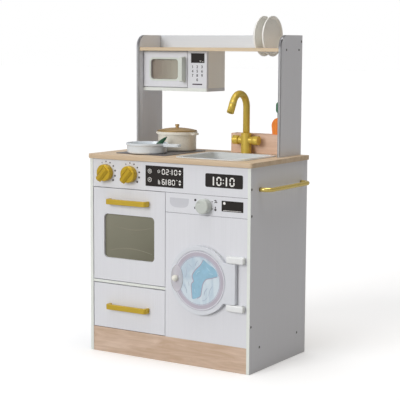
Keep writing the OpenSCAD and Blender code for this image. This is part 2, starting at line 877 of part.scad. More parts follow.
module washer_hinge_blocks() {
    w = block_x1 - block_x0;
    r = 5;
    y = front_y - block_reach / 2;
    color("#dfe0e2") placed() difference() {
        for (z = block_z) {
            translate([block_x0 + w / 2, y, z]) linear_extrude(height = block_h)
                rounded(w, block_reach, r);
        }
        bar_z(block_z[1] + 3, block_z[1] + block_h + over, washer_pin_x, washer_pin_y,
            pin_r + running);
        bar_z(block_z[0] - over, block_z[0] + block_h - 3, washer_pin_x, washer_pin_y,
            pin_r + running);
    }
}

module washer_door_panel() {
    color("#e0e1e4") placed() difference() {
        union() {
            bar_y(washer_door_y0, washer_door_y1, washer_mid_x, washer_mid_z, washer_door_r);
            block([washer_mid_x, washer_ear_x1], [washer_door_y0, washer_door_y1],
                [washer_mid_z - washer_ear_h / 2, washer_mid_z + washer_ear_h / 2]);
        }
        bar_y(washer_door_y0 - over, washer_door_y0 + picture_t, washer_mid_x, washer_mid_z,
            picture_r + loose);
        bar_z(washer_mid_z - washer_ear_h / 2 - over, washer_mid_z + washer_ear_h / 2 + over,
            washer_pin_x, washer_pin_y, pin_r);
    }
}

module washer_window() {
    color("#c8ccd2") placed()
        bar_y(washer_door_y0, washer_door_y0 + picture_t, washer_mid_x, washer_mid_z,
            picture_r);
}

module washer_latch_plate() {
    color("#b9bcc0") placed() translate([latch_x, washer_door_y0, washer_mid_z])
        rotate([90, 0, 0]) linear_extrude(height = latch_t)
        polygon([for (a = [0 : 6 : 354]) [latch_w / 2 * cos(a), latch_h / 2 * sin(a)]]);
}

module washer_latch_knob() {
    r = latch_knob_r;
    color("#eeeae0") placed()
        translate([latch_knob_x, washer_door_y0 - latch_t, washer_mid_z]) rotate([90, 0, 0])
        rotate_extrude() intersection() {
            translate([0, 0.2 * r]) circle(r = r);
            square([2 * r, 2 * r]);
        }
}

module washer_hinge_pin() {
    color("#999999") placed()
        bar_z(block_z[1] + 3 + loose, block_z[0] + block_h - 3 - loose, washer_pin_x,
            washer_pin_y, pin_r);
}

// ---- knobs ----

// A knob's shaft, from behind the board to just inside the knob, with +Z out of the board
module knob_shaft() {
    translate([0, 0, -knob_gap - board_t - shaft_past])
        cylinder(h = knob_gap + board_t + shaft_past + over, r = shaft_r);
}

// Moves its children to a knob's seat at (x, z) on the front boards, +Z out of the board
module knob_seat(x, z) {
    translate([x, front_y - knob_gap, z]) rotate([90, 0, 0]) children();
}

// An oven knob: a disc with a raised, wedge-sided grip, whose pointer end stands past the
// disc's edge at the lower left. i counts the knobs from the left.
module oven_knob(i) {
    r = oven_knob_dia / 2;
    disc_h = 0.75 * oven_knob_reach;
    chamfer = 1.5;
    foot_w = 10;
    top_w = 3.5;
    pointer = r + 3.5;
    tail = 0.72 * r;
    sink = 3;
    color("#c8aa3c") placed()
        knob_seat(-half_w + oven_knob_left + i * oven_knob_pitch, control_mid_z) {
            rotate_extrude() polygon([[0, 0], [r, 0], [r, disc_h - chamfer],
                [r - chamfer, disc_h], [0, disc_h]]);
            rotate([0, 0, -42]) translate([0, tail, 0]) rotate([90, 0, 0])
                linear_extrude(height = tail + pointer)
                polygon([[-foot_w, disc_h - sink], [foot_w, disc_h - sink], [foot_w, disc_h],
                    [top_w, oven_knob_reach], [-top_w, oven_knob_reach], [-foot_w, disc_h]]);
            knob_shaft();
        }
}

module oven_knob_left() {
    oven_knob(0);
}

module oven_knob_right() {
    oven_knob(1);
}

// A plain round knob with a soft edge and a dimple for a fingertip
module washer_knob() {
    r = washer_knob_dia / 2;
    soft = 4;
    color("#eceded") placed() knob_seat(washer_knob_x, washer_knob_z) {
        difference() {
            rotate_extrude() {
                square([r, washer_knob_reach - soft]);
                square([r - soft, washer_knob_reach]);
                translate([r - soft, washer_knob_reach - soft]) intersection() {
                    circle(r = soft);
                    square([soft, soft]);
                }
            }
            rotate([0, 0, 40]) translate([0, 0.6 * r, washer_knob_reach + 5]) sphere(r = 7);
        }
        knob_shaft();
    }
}

// ---- loose things ----

module pot() {
    r = pot_dia / 2;
    round_r = 5;
    lip = 3.5;
    lip_h = 9;
    lug_w = 30;
    lug_reach = 17;
    lug_t = 5.5;
    color("#c3bcb2") placed() translate([pot_x, pot_y, pot_bottom]) difference() {
        union() {
            rotate_extrude() {
                translate([0, round_r]) square([r, pot_h - round_r]);
                square([r - round_r, pot_h]);
                intersection() {
                    translate([r - round_r, round_r]) circle(r = round_r);
                    square([r, pot_h]);
                }
            }
            translate([0, 0, pot_h - lip_h]) cylinder(h = lip_h, r = r + lip);
            for (s = [-1, 1]) {
                translate([s * (r + lug_reach / 2 - 8), 0, pot_h - lip_h])
                    linear_extrude(height = lug_t) rounded(lug_reach + 8, lug_w, 8);
            }
        }
        translate([0, 0, pot_wall]) cylinder(h = pot_h, r = r - pot_wall);
    }
}

module pot_lid() {
    rim_r = pot_dia / 2 + 2.2;
    rim_t = 2.5;
    dome_r = (rim_r * rim_r + lid_dome * lid_dome) / (2 * lid_dome);
    z0 = pot_top + loose;
    color("#b9976a") placed() translate([pot_x, pot_y, z0]) {
        cylinder(h = rim_t, r = rim_r);
        translate([0, 0, -3]) cylinder(h = 3 + over, r = pot_dia / 2 - pot_wall - 0.6);
        intersection() {
            translate([0, 0, rim_t + lid_dome - dome_r - 0.01]) sphere(r = dome_r, $fn = 180);
            translate([0, 0, rim_t - over]) cylinder(h = lid_dome + over, r = rim_r);
        }
        translate([0, 0, rim_t + lid_dome - 2]) cylinder(h = lid_knob_h, r = 4.8);
        translate([0, 0, rim_t + lid_dome + lid_knob_h - 6]) cylinder(h = 6, r = 6.2);
    }
}

module frying_pan() {
    r = pan_dia / 2;
    base_r = r - 2.5;
    lip_h = 7;
    handle_t = 8;
    color("#d0d4d8") placed() translate([pan_x, pan_y, pot_bottom]) {
        rotate_extrude() polygon([[0, 0], [base_r - 3, 0], [base_r, 3], [base_r, pan_h - lip_h - 1],
            [r, pan_h - lip_h + 1], [r, pan_h], [r - pot_wall, pan_h],
            [base_r - pot_wall, pan_h - lip_h - 1], [base_r - pot_wall, pot_wall + 3],
            [base_r - pot_wall - 3, pot_wall], [0, pot_wall]]);
        translate([r + pan_handle_len / 2 - 2, 0, pan_h - handle_t - 0.5])
            linear_extrude(height = handle_t) rounded(pan_handle_len + 2, 22, 9);
    }
}

// A leaf-shaped vegetable, leaning on the far side of the pan: round, and pointed at both ends
module toy_leaf() {
    r = 6.5;
    half_len = 31;
    lean = 48;
    mid_up = 22.5;
    side_r = (half_len * half_len + r * r) / (2 * r);
    reach = asin(half_len / side_r) - 2;
    side = [for (a = [-reach : reach / 8 : reach])
        [side_r * cos(a) - side_r + r, side_r * sin(a)]];
    tip = side_r * sin(reach);
    color("#00502a") placed()
        translate([pan_x + 17, pan_y + 40, pot_bottom + pot_wall + loose + mid_up])
        rotate([0, lean, 28])
        rotate_extrude() polygon(concat([[0, -tip]], side, [[0, tip]]));
}

// A plate that stands on edge, its hollow side towards +X
module plate(s) {
    r = plate_dia / 2;
    skin = 3;
    color("#b9b7ac") placed()
        translate([plate_mid_x + s * plate_pitch / 2 - plate_t / 2, plate_y, plate_z])
        rotate([0, 90, 0]) rotate_extrude()
        polygon([[0, 0], [r - 6, 0], [r - 1, plate_t - skin], [r, plate_t - skin + 1],
            [r, plate_t], [r - 3.5, plate_t], [r - 7.5, skin], [0, skin]]);
}

module plate_left() {
    plate(-1);
}

module plate_right() {
    plate(1);
}

// Points of an arc about (0, z), in steps of about the angle given
function arc(z, r, from, to, step) = [for (n = ceil((to - from) / step), i = [0 : n])
    [r * cos(from + (to - from) * i / n), z + r * sin(from + (to - from) * i / n)]];

// A flat toy carrot, cut from a board: a round head, straight sides to a narrow foot, a leaf
module toy_carrot() {
    head_r = carrot_w / 2;
    foot_r = 15;
    foot_z = worktop_z + loose + foot_r;
    head_z = carrot_top - head_r;
    rise = head_z - foot_z;
    lean = asin((head_r - foot_r) / rise);
    leaf_r = 9;
    color("#e47823") placed() translate([carrot_x, carrot_y + carrot_t / 2, 0])
        rotate([90, 0, 0]) linear_extrude(height = carrot_t) {
            polygon(concat(arc(head_z, head_r, -lean, 180 + lean, 6),
                arc(foot_z, foot_r, 180 + lean, 360 - lean, 12)));
            translate([-4, carrot_top - 3]) square([8, 20]);
            polygon(concat(arc(carrot_top + 37, leaf_r, 0, 180, 12),
                arc(carrot_top + 22, leaf_r, 180, 360, 12)));
        }
}

left_side_panel();
right_side_panel();
plinth_board();
base_board();
centre_divider();
oven_shelf();
control_panel();
washer_front_panel();
cabinet_back_panel();
panel_screws();
door_catches();
towel_rail();
worktop();
hob_plate();
sink_basin();
sink_drain();
tap_body();
hutch_left_panel();
hutch_right_panel();
top_shelf();
hutch_back_rail();
microwave_floor();
microwave_side();
microwave_back();
microwave_fascia();
utensil_box_front();
utensil_box_end();
utensil_box_back();
washer_hinge_blocks();
oven_door_panel();
oven_window();
oven_handle();
oven_hinge_pins();
drawer_front();
drawer_sides();
drawer_back();
drawer_bottom();
drawer_handle();
microwave_door_panel();
microwave_window();
microwave_handle();
microwave_hinge_pins();
washer_door_panel();
washer_window();
washer_latch_plate();
washer_latch_knob();
washer_hinge_pin();
oven_knob_left();
oven_knob_right();
washer_knob();
tap_spout();
tap_handle_left();
tap_handle_right();
pot();
pot_lid();
frying_pan();
toy_leaf();
plate_left();
plate_right();
toy_carrot();
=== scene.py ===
"""Toy kitchen: the looks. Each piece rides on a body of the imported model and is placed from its
nodes' boxes. Lengths are in metres, and those of the flat drawings are in mm on their face."""

import math

import bmesh
import bpy
from mathutils import Matrix, Vector


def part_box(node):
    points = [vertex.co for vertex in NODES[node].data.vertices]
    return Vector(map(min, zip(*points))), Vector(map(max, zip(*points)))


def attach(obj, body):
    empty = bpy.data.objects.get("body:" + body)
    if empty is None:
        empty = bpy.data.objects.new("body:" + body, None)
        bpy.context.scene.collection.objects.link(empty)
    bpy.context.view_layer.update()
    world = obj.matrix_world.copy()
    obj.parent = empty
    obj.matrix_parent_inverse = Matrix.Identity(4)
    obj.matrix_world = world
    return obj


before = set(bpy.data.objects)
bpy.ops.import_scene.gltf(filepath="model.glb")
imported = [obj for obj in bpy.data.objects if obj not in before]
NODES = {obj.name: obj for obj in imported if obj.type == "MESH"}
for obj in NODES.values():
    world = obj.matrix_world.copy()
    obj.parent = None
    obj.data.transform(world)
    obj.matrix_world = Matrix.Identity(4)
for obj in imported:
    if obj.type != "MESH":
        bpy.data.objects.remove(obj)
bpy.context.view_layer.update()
MM = 0.001


# ---- shader nodes ----


def linear(r, g, b):
    """A colour given in 0-255 screen values, as the shaders want it."""
    def one(value):
        value /= 255
        return value / 12.92 if value <= 0.04045 else ((value + 0.055) / 1.055) ** 2.4

    return one(r), one(g), one(b)


def add(tree, kind, inputs=None, **settings):
    """A shader node with its settings, and its inputs linked or set."""
    made = tree.nodes.new(kind)
    for key, value in settings.items():
        setattr(made, key, value)
    for key, value in (inputs or {}).items():
        if isinstance(value, bpy.types.NodeSocket):
            tree.links.new(value, made.inputs[key])
        else:
            made.inputs[key].default_value = value
    return made


def blank(name, roughness, metallic=0.0, coat=0.0, alpha=1.0):
    """A new material, its node tree and its shader."""
    material = bpy.data.materials.new(name)
    material.use_nodes = True
    tree = material.node_tree
    shader = tree.nodes["Principled BSDF"]
    shader.inputs["Roughness"].default_value = roughness
    shader.inputs["Metallic"].default_value = metallic
    shader.inputs["Coat Weight"].default_value = coat
    shader.inputs["Coat Roughness"].default_value = 0.12
    shader.inputs["Alpha"].default_value = alpha
    return material, tree, shader


def stretched(tree, scale):
    """The piece's own coordinates in metres, times a scale along each axis."""
    place = add(tree, "ShaderNodeTexCoord")
    return add(tree, "ShaderNodeMapping", {"Vector": place.outputs["Object"], "Scale": scale})


def own_place(tree):
    """The piece's own coordinates in metres, as one output for each of X, Y and Z."""
    place = add(tree, "ShaderNodeTexCoord")
    return add(tree, "ShaderNodeSeparateXYZ", {"Vector": place.outputs["Object"]}).outputs


def noise(tree, scale, detail=3.0, distortion=0.0, roughness=0.55):
    """Noise in 0-1 whose grains are 1 / scale metres along each axis."""
    if not isinstance(scale, tuple):
        scale = (scale, scale, scale)
    made = add(tree, "ShaderNodeTexNoise", {"Vector": stretched(tree, scale).outputs["Vector"],
               "Scale": 1.0, "Detail": detail, "Distortion": distortion, "Roughness": roughness})
    return made.outputs["Fac"]


def between(tree, value, low, high, to_low, to_high):
    """value from low-high mapped onto to_low-to_high, held at its ends."""
    made = add(tree, "ShaderNodeMapRange", {"Value": value, "From Min": low, "From Max": high,
               "To Min": to_low, "To Max": to_high})
    return made.outputs["Result"]


def mixed(tree, factor, first, second):
    """Two colours, or colour sockets, mixed by a factor."""
    made = add(tree, "ShaderNodeMix", data_type="RGBA")
    for socket, value in ((made.inputs[0], factor), (made.inputs[6], first),
                          (made.inputs[7], second)):
        if isinstance(value, bpy.types.NodeSocket):
            tree.links.new(value, socket)
        elif isinstance(value, tuple):
            socket.default_value = (*value, 1)
        else:
            socket.default_value = value
    return made.outputs[2]


def scaled(colour, by):
    """A colour made lighter or darker, held at full brightness."""
    return tuple(min(1.0, c * by) for c in colour)


def bump(tree, shader, height, depth, strength=1.0):
    """Relief of a depth in metres from a height in 0-1."""
    made = add(tree, "ShaderNodeBump", {"Height": height, "Distance": depth,
               "Strength": strength})
    tree.links.new(made.outputs["Normal"], shader.inputs["Normal"])


# ---- camera, light and floor ----

# The camera stands a set way from the cabinet's datum, which is the middle of its width, at its
# side panels' front edges, on the floor
DATUM = Vector(((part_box("left_side_panel")[0].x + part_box("right_side_panel")[1].x) / 2,
                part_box("left_side_panel")[0].y, 0))
CAMERA_AT = DATUM + Vector((1.95438, -2.91209, 0.89208))
CAMERA_YAW = math.radians(32.37)
CAMERA_PITCH = math.radians(-6.96)
CAMERA_ROLL = math.radians(0.31)
CAMERA_LENS = 113.51
CAMERA_SENSOR = 36


def make_camera():
    """A long lens that looks slightly down at the front and the right side."""
    data = bpy.data.cameras.new("camera")
    data.lens = CAMERA_LENS
    data.sensor_width = CAMERA_SENSOR
    ahead = Vector((-math.sin(CAMERA_YAW) * math.cos(CAMERA_PITCH),
                    math.cos(CAMERA_YAW) * math.cos(CAMERA_PITCH), math.sin(CAMERA_PITCH)))
    right = Vector((math.cos(CAMERA_YAW), math.sin(CAMERA_YAW), 0))
    up = right.cross(ahead)
    right, up = (right * math.cos(CAMERA_ROLL) + up * math.sin(CAMERA_ROLL),
                 up * math.cos(CAMERA_ROLL) - right * math.sin(CAMERA_ROLL))
    facing = Matrix((right, up, -ahead)).transposed().to_4x4()
    camera = bpy.data.objects.new("camera", data)
    camera.matrix_world = Matrix.Translation(CAMERA_AT) @ facing
    bpy.context.scene.collection.objects.link(camera)
    bpy.context.scene.camera = camera


def soft_light(name, at, spread, strength, colour=(1, 1, 1)):
    """A far lamp that shines from a point towards the middle of the floor, spread over an angle
    in degrees, so that the whole floor is lit evenly."""
    data = bpy.data.lights.new(name, "SUN")
    data.angle = math.radians(spread)
    data.energy = strength
    data.color = colour
    light = bpy.data.objects.new(name, data)
    light.location = at
    light.rotation_euler = (-Vector(at)).to_track_quat("-Z", "Y").to_euler()
    bpy.context.scene.collection.objects.link(light)


def make_light():
    """A soft key from the front left, a lamp overhead, and a room that is cool on the left and
    dim and warm on the right. The room shows white behind the model."""
    soft_light("key", (-1.0, -4.0, 1.5), spread=30, strength=1.45, colour=(1, 0.99, 0.98))
    soft_light("overhead", (0.2, -0.2, 4.2), spread=50, strength=1.5)
    world = bpy.data.worlds.new("studio")
    world.use_nodes = True
    tree = world.node_tree
    place = add(tree, "ShaderNodeTexCoord")
    part = add(tree, "ShaderNodeSeparateXYZ", {"Vector": place.outputs["Generated"]})
    cool_end, warm_end = -0.6, 0.9
    side = between(tree, part.outputs["X"], cool_end, warm_end, 0, 1)
    room = mixed(tree, side, (0.42, 0.43, 0.45), (0.225, 0.2, 0.165))
    seen = add(tree, "ShaderNodeLightPath")
    shown = mixed(tree, seen.outputs["Is Camera Ray"], room, (1, 1, 1))
    background = tree.nodes["Background"]
    tree.links.new(shown, background.inputs["Color"])
    background.inputs["Strength"].default_value = 1.0
    bpy.context.scene.world = world
    bpy.context.scene.view_settings.view_transform = "Standard"


def make_floor():
    """A plain pale floor that reaches far past the model on every side."""
    mesh = bpy.data.meshes.new("floor")
    reach = 40
    corners = [(-reach, -reach, 0), (reach, -reach, 0), (reach, reach, 0), (-reach, reach, 0)]
    mesh.from_pydata(corners, [], [(0, 1, 2, 3)])
    floor = bpy.data.objects.new("floor", mesh)
    bpy.context.scene.collection.objects.link(floor)
    mesh.materials.append(floor_paint())


# ---- materials ----


def finish(name, colour, roughness=0.4, metallic=0.0, coat=0.0, alpha=1.0, mottle=0.03,
           mottle_scale=30, relief=0.0, relief_scale=900):
    """A plain finish: slight mottling, uneven gloss and a fine moulded or sprayed relief."""
    material, tree, shader = blank(name, roughness, metallic, coat, alpha)
    cloud = noise(tree, mottle_scale, detail=4)
    tree.links.new(mixed(tree, between(tree, cloud, 0.3, 0.7, 0, 1), scaled(colour, 1 - mottle),
                         scaled(colour, 1 + mottle)), shader.inputs["Base Color"])
    gloss = noise(tree, mottle_scale * 6, detail=3)
    tree.links.new(between(tree, gloss, 0.3, 0.7, roughness * 0.9, roughness * 1.1),
                   shader.inputs["Roughness"])
    if relief:
        bump(tree, shader, noise(tree, relief_scale, detail=2), relief)
    return material


def floor_paint():
    """Matt white paint that returns less light to the model than it shows, with a faint painted
    glow that only the camera sees, which brightens the floor and its shadows.
    """
    material, tree, shader = blank("floor_paint", 0.95)
    seen = add(tree, "ShaderNodeLightPath").outputs["Is Camera Ray"]
    cloud = noise(tree, 3, detail=2)
    white = mixed(tree, cloud, (0.98, 0.98, 0.98), (0.99, 0.99, 0.99))
    tree.links.new(mixed(tree, seen, (0.5, 0.5, 0.5), white), shader.inputs["Base Color"])
    # Painted light: a faint glow that only the camera sees
    shader.inputs["Emission Color"].default_value = (1, 1, 1, 1)
    tree.links.new(between(tree, seen, 0, 1, 0, 0.1), shader.inputs["Emission Strength"])
    return material


def wood(name, colour, grain, contrast=1.0, gloss=0.42, wave=1.0):
    """Pale varnished wood. grain is the axis (0, 1 or 2) that the fibres run along. A larger
    wave gives a shorter, busier figure."""
    material, tree, shader = blank(name, gloss)

    def along(length, across):
        return tuple(length if axis == grain else across for axis in range(3))

    figure = noise(tree, along(1.6 * wave ** 2, 26 * wave), detail=3, distortion=1.6)
    streaks = noise(tree, along(4, 170), detail=4, distortion=0.3)
    fibres = noise(tree, along(26, 1500), detail=2)
    pores = noise(tree, along(60, 2600), detail=1)
    dark = (colour[0] * (1 - 0.16 * contrast), colour[1] * (1 - 0.22 * contrast),
            colour[2] * (1 - 0.30 * contrast))
    light = scaled(colour, 1 + 0.05 * contrast)
    tone = mixed(tree, between(tree, figure, 0.32, 0.68, 0, 1), dark, light)
    tone = mixed(tree, between(tree, streaks, 0.42, 0.72, 0, 0.55 * contrast), tone,
                 scaled(dark, 0.97))
    tone = mixed(tree, between(tree, fibres, 0.45, 0.75, 0, 0.25 * contrast), tone,
                 scaled(dark, 0.85))
    tree.links.new(tone, shader.inputs["Base Color"])
    tree.links.new(between(tree, streaks, 0.3, 0.7, gloss * 0.92, gloss * 1.12),
                   shader.inputs["Roughness"])
    bump(tree, shader, between(tree, pores, 0.35, 0.6, 0, 1), 0.00012, 0.5)
    return material


def white_board(name, grain, edge_axis=None, colour=(226, 227, 232)):
    """White faced board with a faint grain. edge_axis is the axis that its bare edges face."""
    material, tree, shader = blank(name, 0.38)
    along_grain, across_grain = 5, 240
    scale = tuple(along_grain if axis == grain else across_grain for axis in range(3))
    fibres = noise(tree, scale, detail=4, distortion=0.2)
    cloud = noise(tree, 7, detail=2)
    base = linear(*colour)
    tone = mixed(tree, between(tree, fibres, 0.35, 0.7, 0, 1), scaled(base, 0.965), base)
    tone = mixed(tree, between(tree, cloud, 0.35, 0.65, 0, 0.5), tone, scaled(base, 0.985))
    if edge_axis is not None:
        place = add(tree, "ShaderNodeTexCoord")
        facing = add(tree, "ShaderNodeSeparateXYZ", {"Vector": place.outputs["Normal"]})
        size = add(tree, "ShaderNodeMath", {0: facing.outputs[edge_axis]}, operation="ABSOLUTE")
        edge = linear(232, 236, 230)
        band = mixed(tree, between(tree, noise(tree, 120, detail=3), 0.35, 0.65, 0, 1),
                     scaled(edge, 0.97), edge)
        tone = mixed(tree, between(tree, size.outputs["Value"], 0.6, 0.85, 0, 1), tone, band)
    tree.links.new(tone, shader.inputs["Base Color"])
    tree.links.new(between(tree, fibres, 0.3, 0.7, 0.34, 0.43), shader.inputs["Roughness"])
    bump(tree, shader, fibres, 0.00006, 0.6)
    return material


def brushed(name, colour, roughness, axis, metallic=1.0):
    """Metal with fine brushing along one axis."""
    material, tree, shader = blank(name, roughness, metallic)
    along_lines, across_lines = 12, 1800
    scale = tuple(along_lines if each == axis else across_lines for each in range(3))
    lines = noise(tree, scale, detail=3)
    tree.links.new(mixed(tree, lines, scaled(colour, 0.9), scaled(colour, 1.08)),
                   shader.inputs["Base Color"])
    tree.links.new(between(tree, lines, 0.3, 0.7, roughness * 0.8, roughness * 1.2),
                   shader.inputs["Roughness"])
    bump(tree, shader, lines, 0.00003, 0.5)
    return material


def screen(name, colour):
    """Dark film of a display, with little gloss."""
    material, tree, shader = blank(name, 0.5)
    shader.inputs["Specular IOR Level"].default_value = 0.25
    cloud = noise(tree, 60, detail=3)
    tree.links.new(mixed(tree, cloud, scaled(colour, 0.9), scaled(colour, 1.1)),
                   shader.inputs["Base Color"])
    return material


def window_tint_and_painted_sheen(name, colour, edge):
    """Tinted acrylic under a hard gloss, with a slow change of tone from corner to corner that is
    a painted sheen: lighter towards the upper left and darker towards the lower right.
    """
    low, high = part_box("oven_window")
    material, tree, shader = blank(name, 0.16, coat=0.35)
    place = own_place(tree)
    rise = between(tree, place["Z"], low.z, high.z, 0, 1)
    side = between(tree, place["X"], low.x, high.x, 0, 0.6)
    slant = add(tree, "ShaderNodeMath", {0: rise, 1: side}, operation="SUBTRACT")
    cloud = noise(tree, 9, detail=2)
    # Painted sheen: the given colour at the upper left, the darker edge colour at the lower right
    tone = mixed(tree, between(tree, slant.outputs["Value"], -0.4, 0.9, 0, 1), edge, colour)
    tone = mixed(tree, between(tree, cloud, 0.35, 0.65, 0, 0.3), tone, scaled(colour, 0.93))
    tree.links.new(tone, shader.inputs["Base Color"])
    bump(tree, shader, noise(tree, 40, detail=1), 0.00003, 0.3)
    return material


def pane_with_painted_shade(name):
    """Clear acrylic with a film that is darker and browner at the left and lighter and greener at
    the right: painted shade of the microwave's inside seen through it.
    """
    low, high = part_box("microwave_window")
    material, tree, shader = blank(name, 0.08, alpha=0.34)
    side = between(tree, own_place(tree)["X"], low.x, high.x, 0, 1)
    # Painted shade: darker and browner at the left, lighter and greener at the right
    tree.links.new(mixed(tree, side, linear(196, 178, 162), linear(240, 236, 216)),
                   shader.inputs["Base Color"])
    return material


def painted_carrot(name, orange, green, split):
    """Carrot paint below the height split and leaf paint above it."""
    material, tree, shader = blank(name, 0.45)
    streaks = noise(tree, (150, 150, 12), detail=3)
    head = mixed(tree, between(tree, streaks, 0.35, 0.7, 0, 1), scaled(orange, 0.86), orange)
    leaf = mixed(tree, between(tree, streaks, 0.35, 0.7, 0, 1), scaled(green, 0.8), green)
    blend = 0.2 * MM
    top = between(tree, own_place(tree)["Z"], split - blend, split + blend, 0, 1)
    tree.links.new(mixed(tree, top, head, leaf), shader.inputs["Base Color"])
    bump(tree, shader, streaks, 0.0001, 0.4)
    return material


def cloth_print(name, low_tone, high_tone):
    """The printed washing behind the round window: soft pale folds on a slant."""
    low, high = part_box("washer_window")
    middle = (low + high) / 2
    slant = math.radians(28)
    material, tree, shader = blank(name, 0.3, coat=0.3)
    place = add(tree, "ShaderNodeTexCoord")
    moved = add(tree, "ShaderNodeMapping", {"Vector": place.outputs["Object"],
                "Location": tuple(-middle)})
    leaning = add(tree, "ShaderNodeMapping", {"Vector": moved.outputs["Vector"],
                  "Rotation": (0, slant, 0), "Scale": (26, 26, 9)})
    folds = add(tree, "ShaderNodeTexNoise", {"Vector": leaning.outputs["Vector"], "Scale": 1.0,
                "Detail": 3.0, "Distortion": 1.4, "Roughness": 0.5})
    fine = noise(tree, 420, detail=2)
    tone = mixed(tree, between(tree, folds.outputs["Fac"], 0.38, 0.62, 0, 1), low_tone, high_tone)
    tone = mixed(tree, between(tree, fine, 0.4, 0.6, 0, 0.12), tone, scaled(low_tone, 0.9))
    tree.links.new(tone, shader.inputs["Base Color"])
    bump(tree, shader, folds.outputs["Fac"], 0.0004, 0.4)
    return material


# ---- edges and finishes of the CAD pieces ----


def soften(name, width, segments=2):
    """Joins the piece's split corners and flat faces, then rounds its sharp edges by a width in
    mm. A width of 0 leaves them sharp."""
    piece = NODES[name]
    flat, sharp = math.radians(0.4), math.radians(35)
    weld = piece.modifiers.new("weld", "WELD")
    weld.merge_threshold = 0.002 * MM
    planes = piece.modifiers.new("planes", "DECIMATE")
    planes.decimate_type = "DISSOLVE"
    planes.angle_limit = flat
    if width:
        rounding = piece.modifiers.new("rounding", "BEVEL")
        rounding.width = width * MM
        rounding.segments = segments
        rounding.limit_method = "ANGLE"
        rounding.angle_limit = sharp
        rounding.use_clamp_overlap = False
        rounding.miter_outer = "MITER_SHARP"
    normals = piece.modifiers.new("normals", "WEIGHTED_NORMAL")
    normals.keep_sharp = False
    normals.weight = 50


def dress(names, material, width, **options):
    """Gives these CAD pieces a material and rounded edges."""
    for name in names:
        NODES[name].data.materials.clear()
        NODES[name].data.materials.append(material)
        soften(name, width, **options)


# ---- flat drawings on a face ----


class Face:
    """A piece's face that looks along -Y. Drawings on it are in mm from its lower left corner,
    and lift is how far in front of the face they lie."""

    def __init__(self, node, body, lift=0.0):
        low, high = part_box(node)
        self.corner = Vector((low.x, low.y, low.z))
        self.width = (high.x - low.x) / MM
        self.height = (high.z - low.z) / MM
        self.body = body
        self.lift = lift

    def point(self, u, v, out):
        return self.corner + Vector((u, -(self.lift + out), v)) * MM


class Top(Face):
    """A piece's upper face. Drawings on it are in mm from its left front corner."""

    def __init__(self, node, body, lift=0.0):
        super().__init__(node, body, lift)
        low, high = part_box(node)
        self.corner.z = high.z
        self.height = (high.y - low.y) / MM

    def point(self, u, v, out):
        return self.corner + Vector((u, v, self.lift + out)) * MM


def circle(u, v, r, points=40):
    """The points of a circle round (u, v)."""
    step = 2 * math.pi / points
    return [(u + r * math.cos(i * step), v + r * math.sin(i * step)) for i in range(points)]


def ring(u, v, inner, outer, points=96):
    """A circle with a round hole in it, as two loops."""
    return [circle(u, v, outer, points), circle(u, v, inner, points)]


def box_shape(u0, v0, u1, v1, r=0.0):
    """A rectangle, with round corners where r is given."""
    if not r:
        return [(u0, v0), (u1, v0), (u1, v1), (u0, v1)]
    steps = 6
    corners = ((u1 - r, v0 + r, -90), (u1 - r, v1 - r, 0), (u0 + r, v1 - r, 90),
               (u0 + r, v0 + r, 180))
    return [(cu + r * math.cos(math.radians(start + 90 * i / steps)),
             cv + r * math.sin(math.radians(start + 90 * i / steps)))
            for cu, cv, start in corners for i in range(steps + 1)]


def smooth(points, steps=6, closed=True):
    """A curve through the points (Catmull-Rom)."""
    count = len(points)
    spans = count if closed else count - 1
    out = []
    for i in range(spans):
        if closed:
            p = [Vector(points[(i + k) % count]) for k in (-1, 0, 1, 2)]
        else:
            p = [Vector(points[min(max(i + k, 0), count - 1)]) for k in (-1, 0, 1, 2)]
        for j in range(steps):
            t = j / steps
            out.append(tuple(0.5 * ((2 * p[1]) + (p[2] - p[0]) * t
                       + (2 * p[0] - 5 * p[1] + 4 * p[2] - p[3]) * t * t
                       + (3 * p[1] - p[0] - 3 * p[2] + p[3]) * t * t * t)))
    if not closed:
        out.append(tuple(points[-1]))
    return out


def stroke(points, width, taper=0.25, steps=6):
    """A brush line along a smooth path, narrower at both ends."""
    path = [Vector(p) for p in smooth(points, steps, closed=False)]
    left, right = [], []
    for i, p in enumerate(path):
        along = (path[min(i + 1, len(path) - 1)] - path[max(i - 1, 0)]).normalized()
        side = Vector((-along.y, along.x))
        t = i / (len(path) - 1)
        half = width / 2 * (taper + (1 - taper) * math.sin(math.pi * t) ** 0.6)
        left.append(tuple(p + side * half))
        right.append(tuple(p - side * half))
    return left + right[::-1]


def laid(name, curve, face, material, u=0.0, v=0.0, out=0.0):
    """A filled curve in mm as a thin piece on a face. The curve's origin goes to (u, v) and the
    middle of its thickness to out. The curve itself is deleted."""
    temporary = bpy.data.objects.new(name + "_curve", curve)
    bpy.context.scene.collection.objects.link(temporary)
    mesh = bpy.data.meshes.new_from_object(
        temporary.evaluated_get(bpy.context.evaluated_depsgraph_get()))
    bpy.data.objects.remove(temporary)
    bpy.data.curves.remove(curve)
    touching = 0.0005
    made = bmesh.new()
    made.from_mesh(mesh)
    bmesh.ops.remove_doubles(made, verts=made.verts, dist=touching)
    for vertex in made.verts:
        across, up, through = vertex.co
        vertex.co = face.point(u + across, v + up, out + through)
    bmesh.ops.recalc_face_normals(made, faces=made.faces)
    made.to_mesh(mesh)
    made.free()
    mesh.materials.clear()
    mesh.materials.append(material)
    mesh.name = name
    piece = bpy.data.objects.new(name, mesh)
    bpy.context.scene.collection.objects.link(piece)
    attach(piece, face.body)
    return piece


def slab(name, loops, face, thick, material, out=0.0):
    """Flat shapes of a thickness in mm on a face. A loop inside another is a hole."""
    curve = bpy.data.curves.new(name, "CURVE")
    curve.dimensions = "2D"
    curve.fill_mode = "BOTH"
    curve.extrude = thick / 2
    for loop in loops:
        spline = curve.splines.new("POLY")
        spline.points.add(len(loop) - 1)
        for point, (u, v) in zip(spline.points, loop):
            point.co = (u, v, 0, 1)
        spline.use_cyclic_u = True
    return laid(name, curve, face, material, out=out + thick / 2)


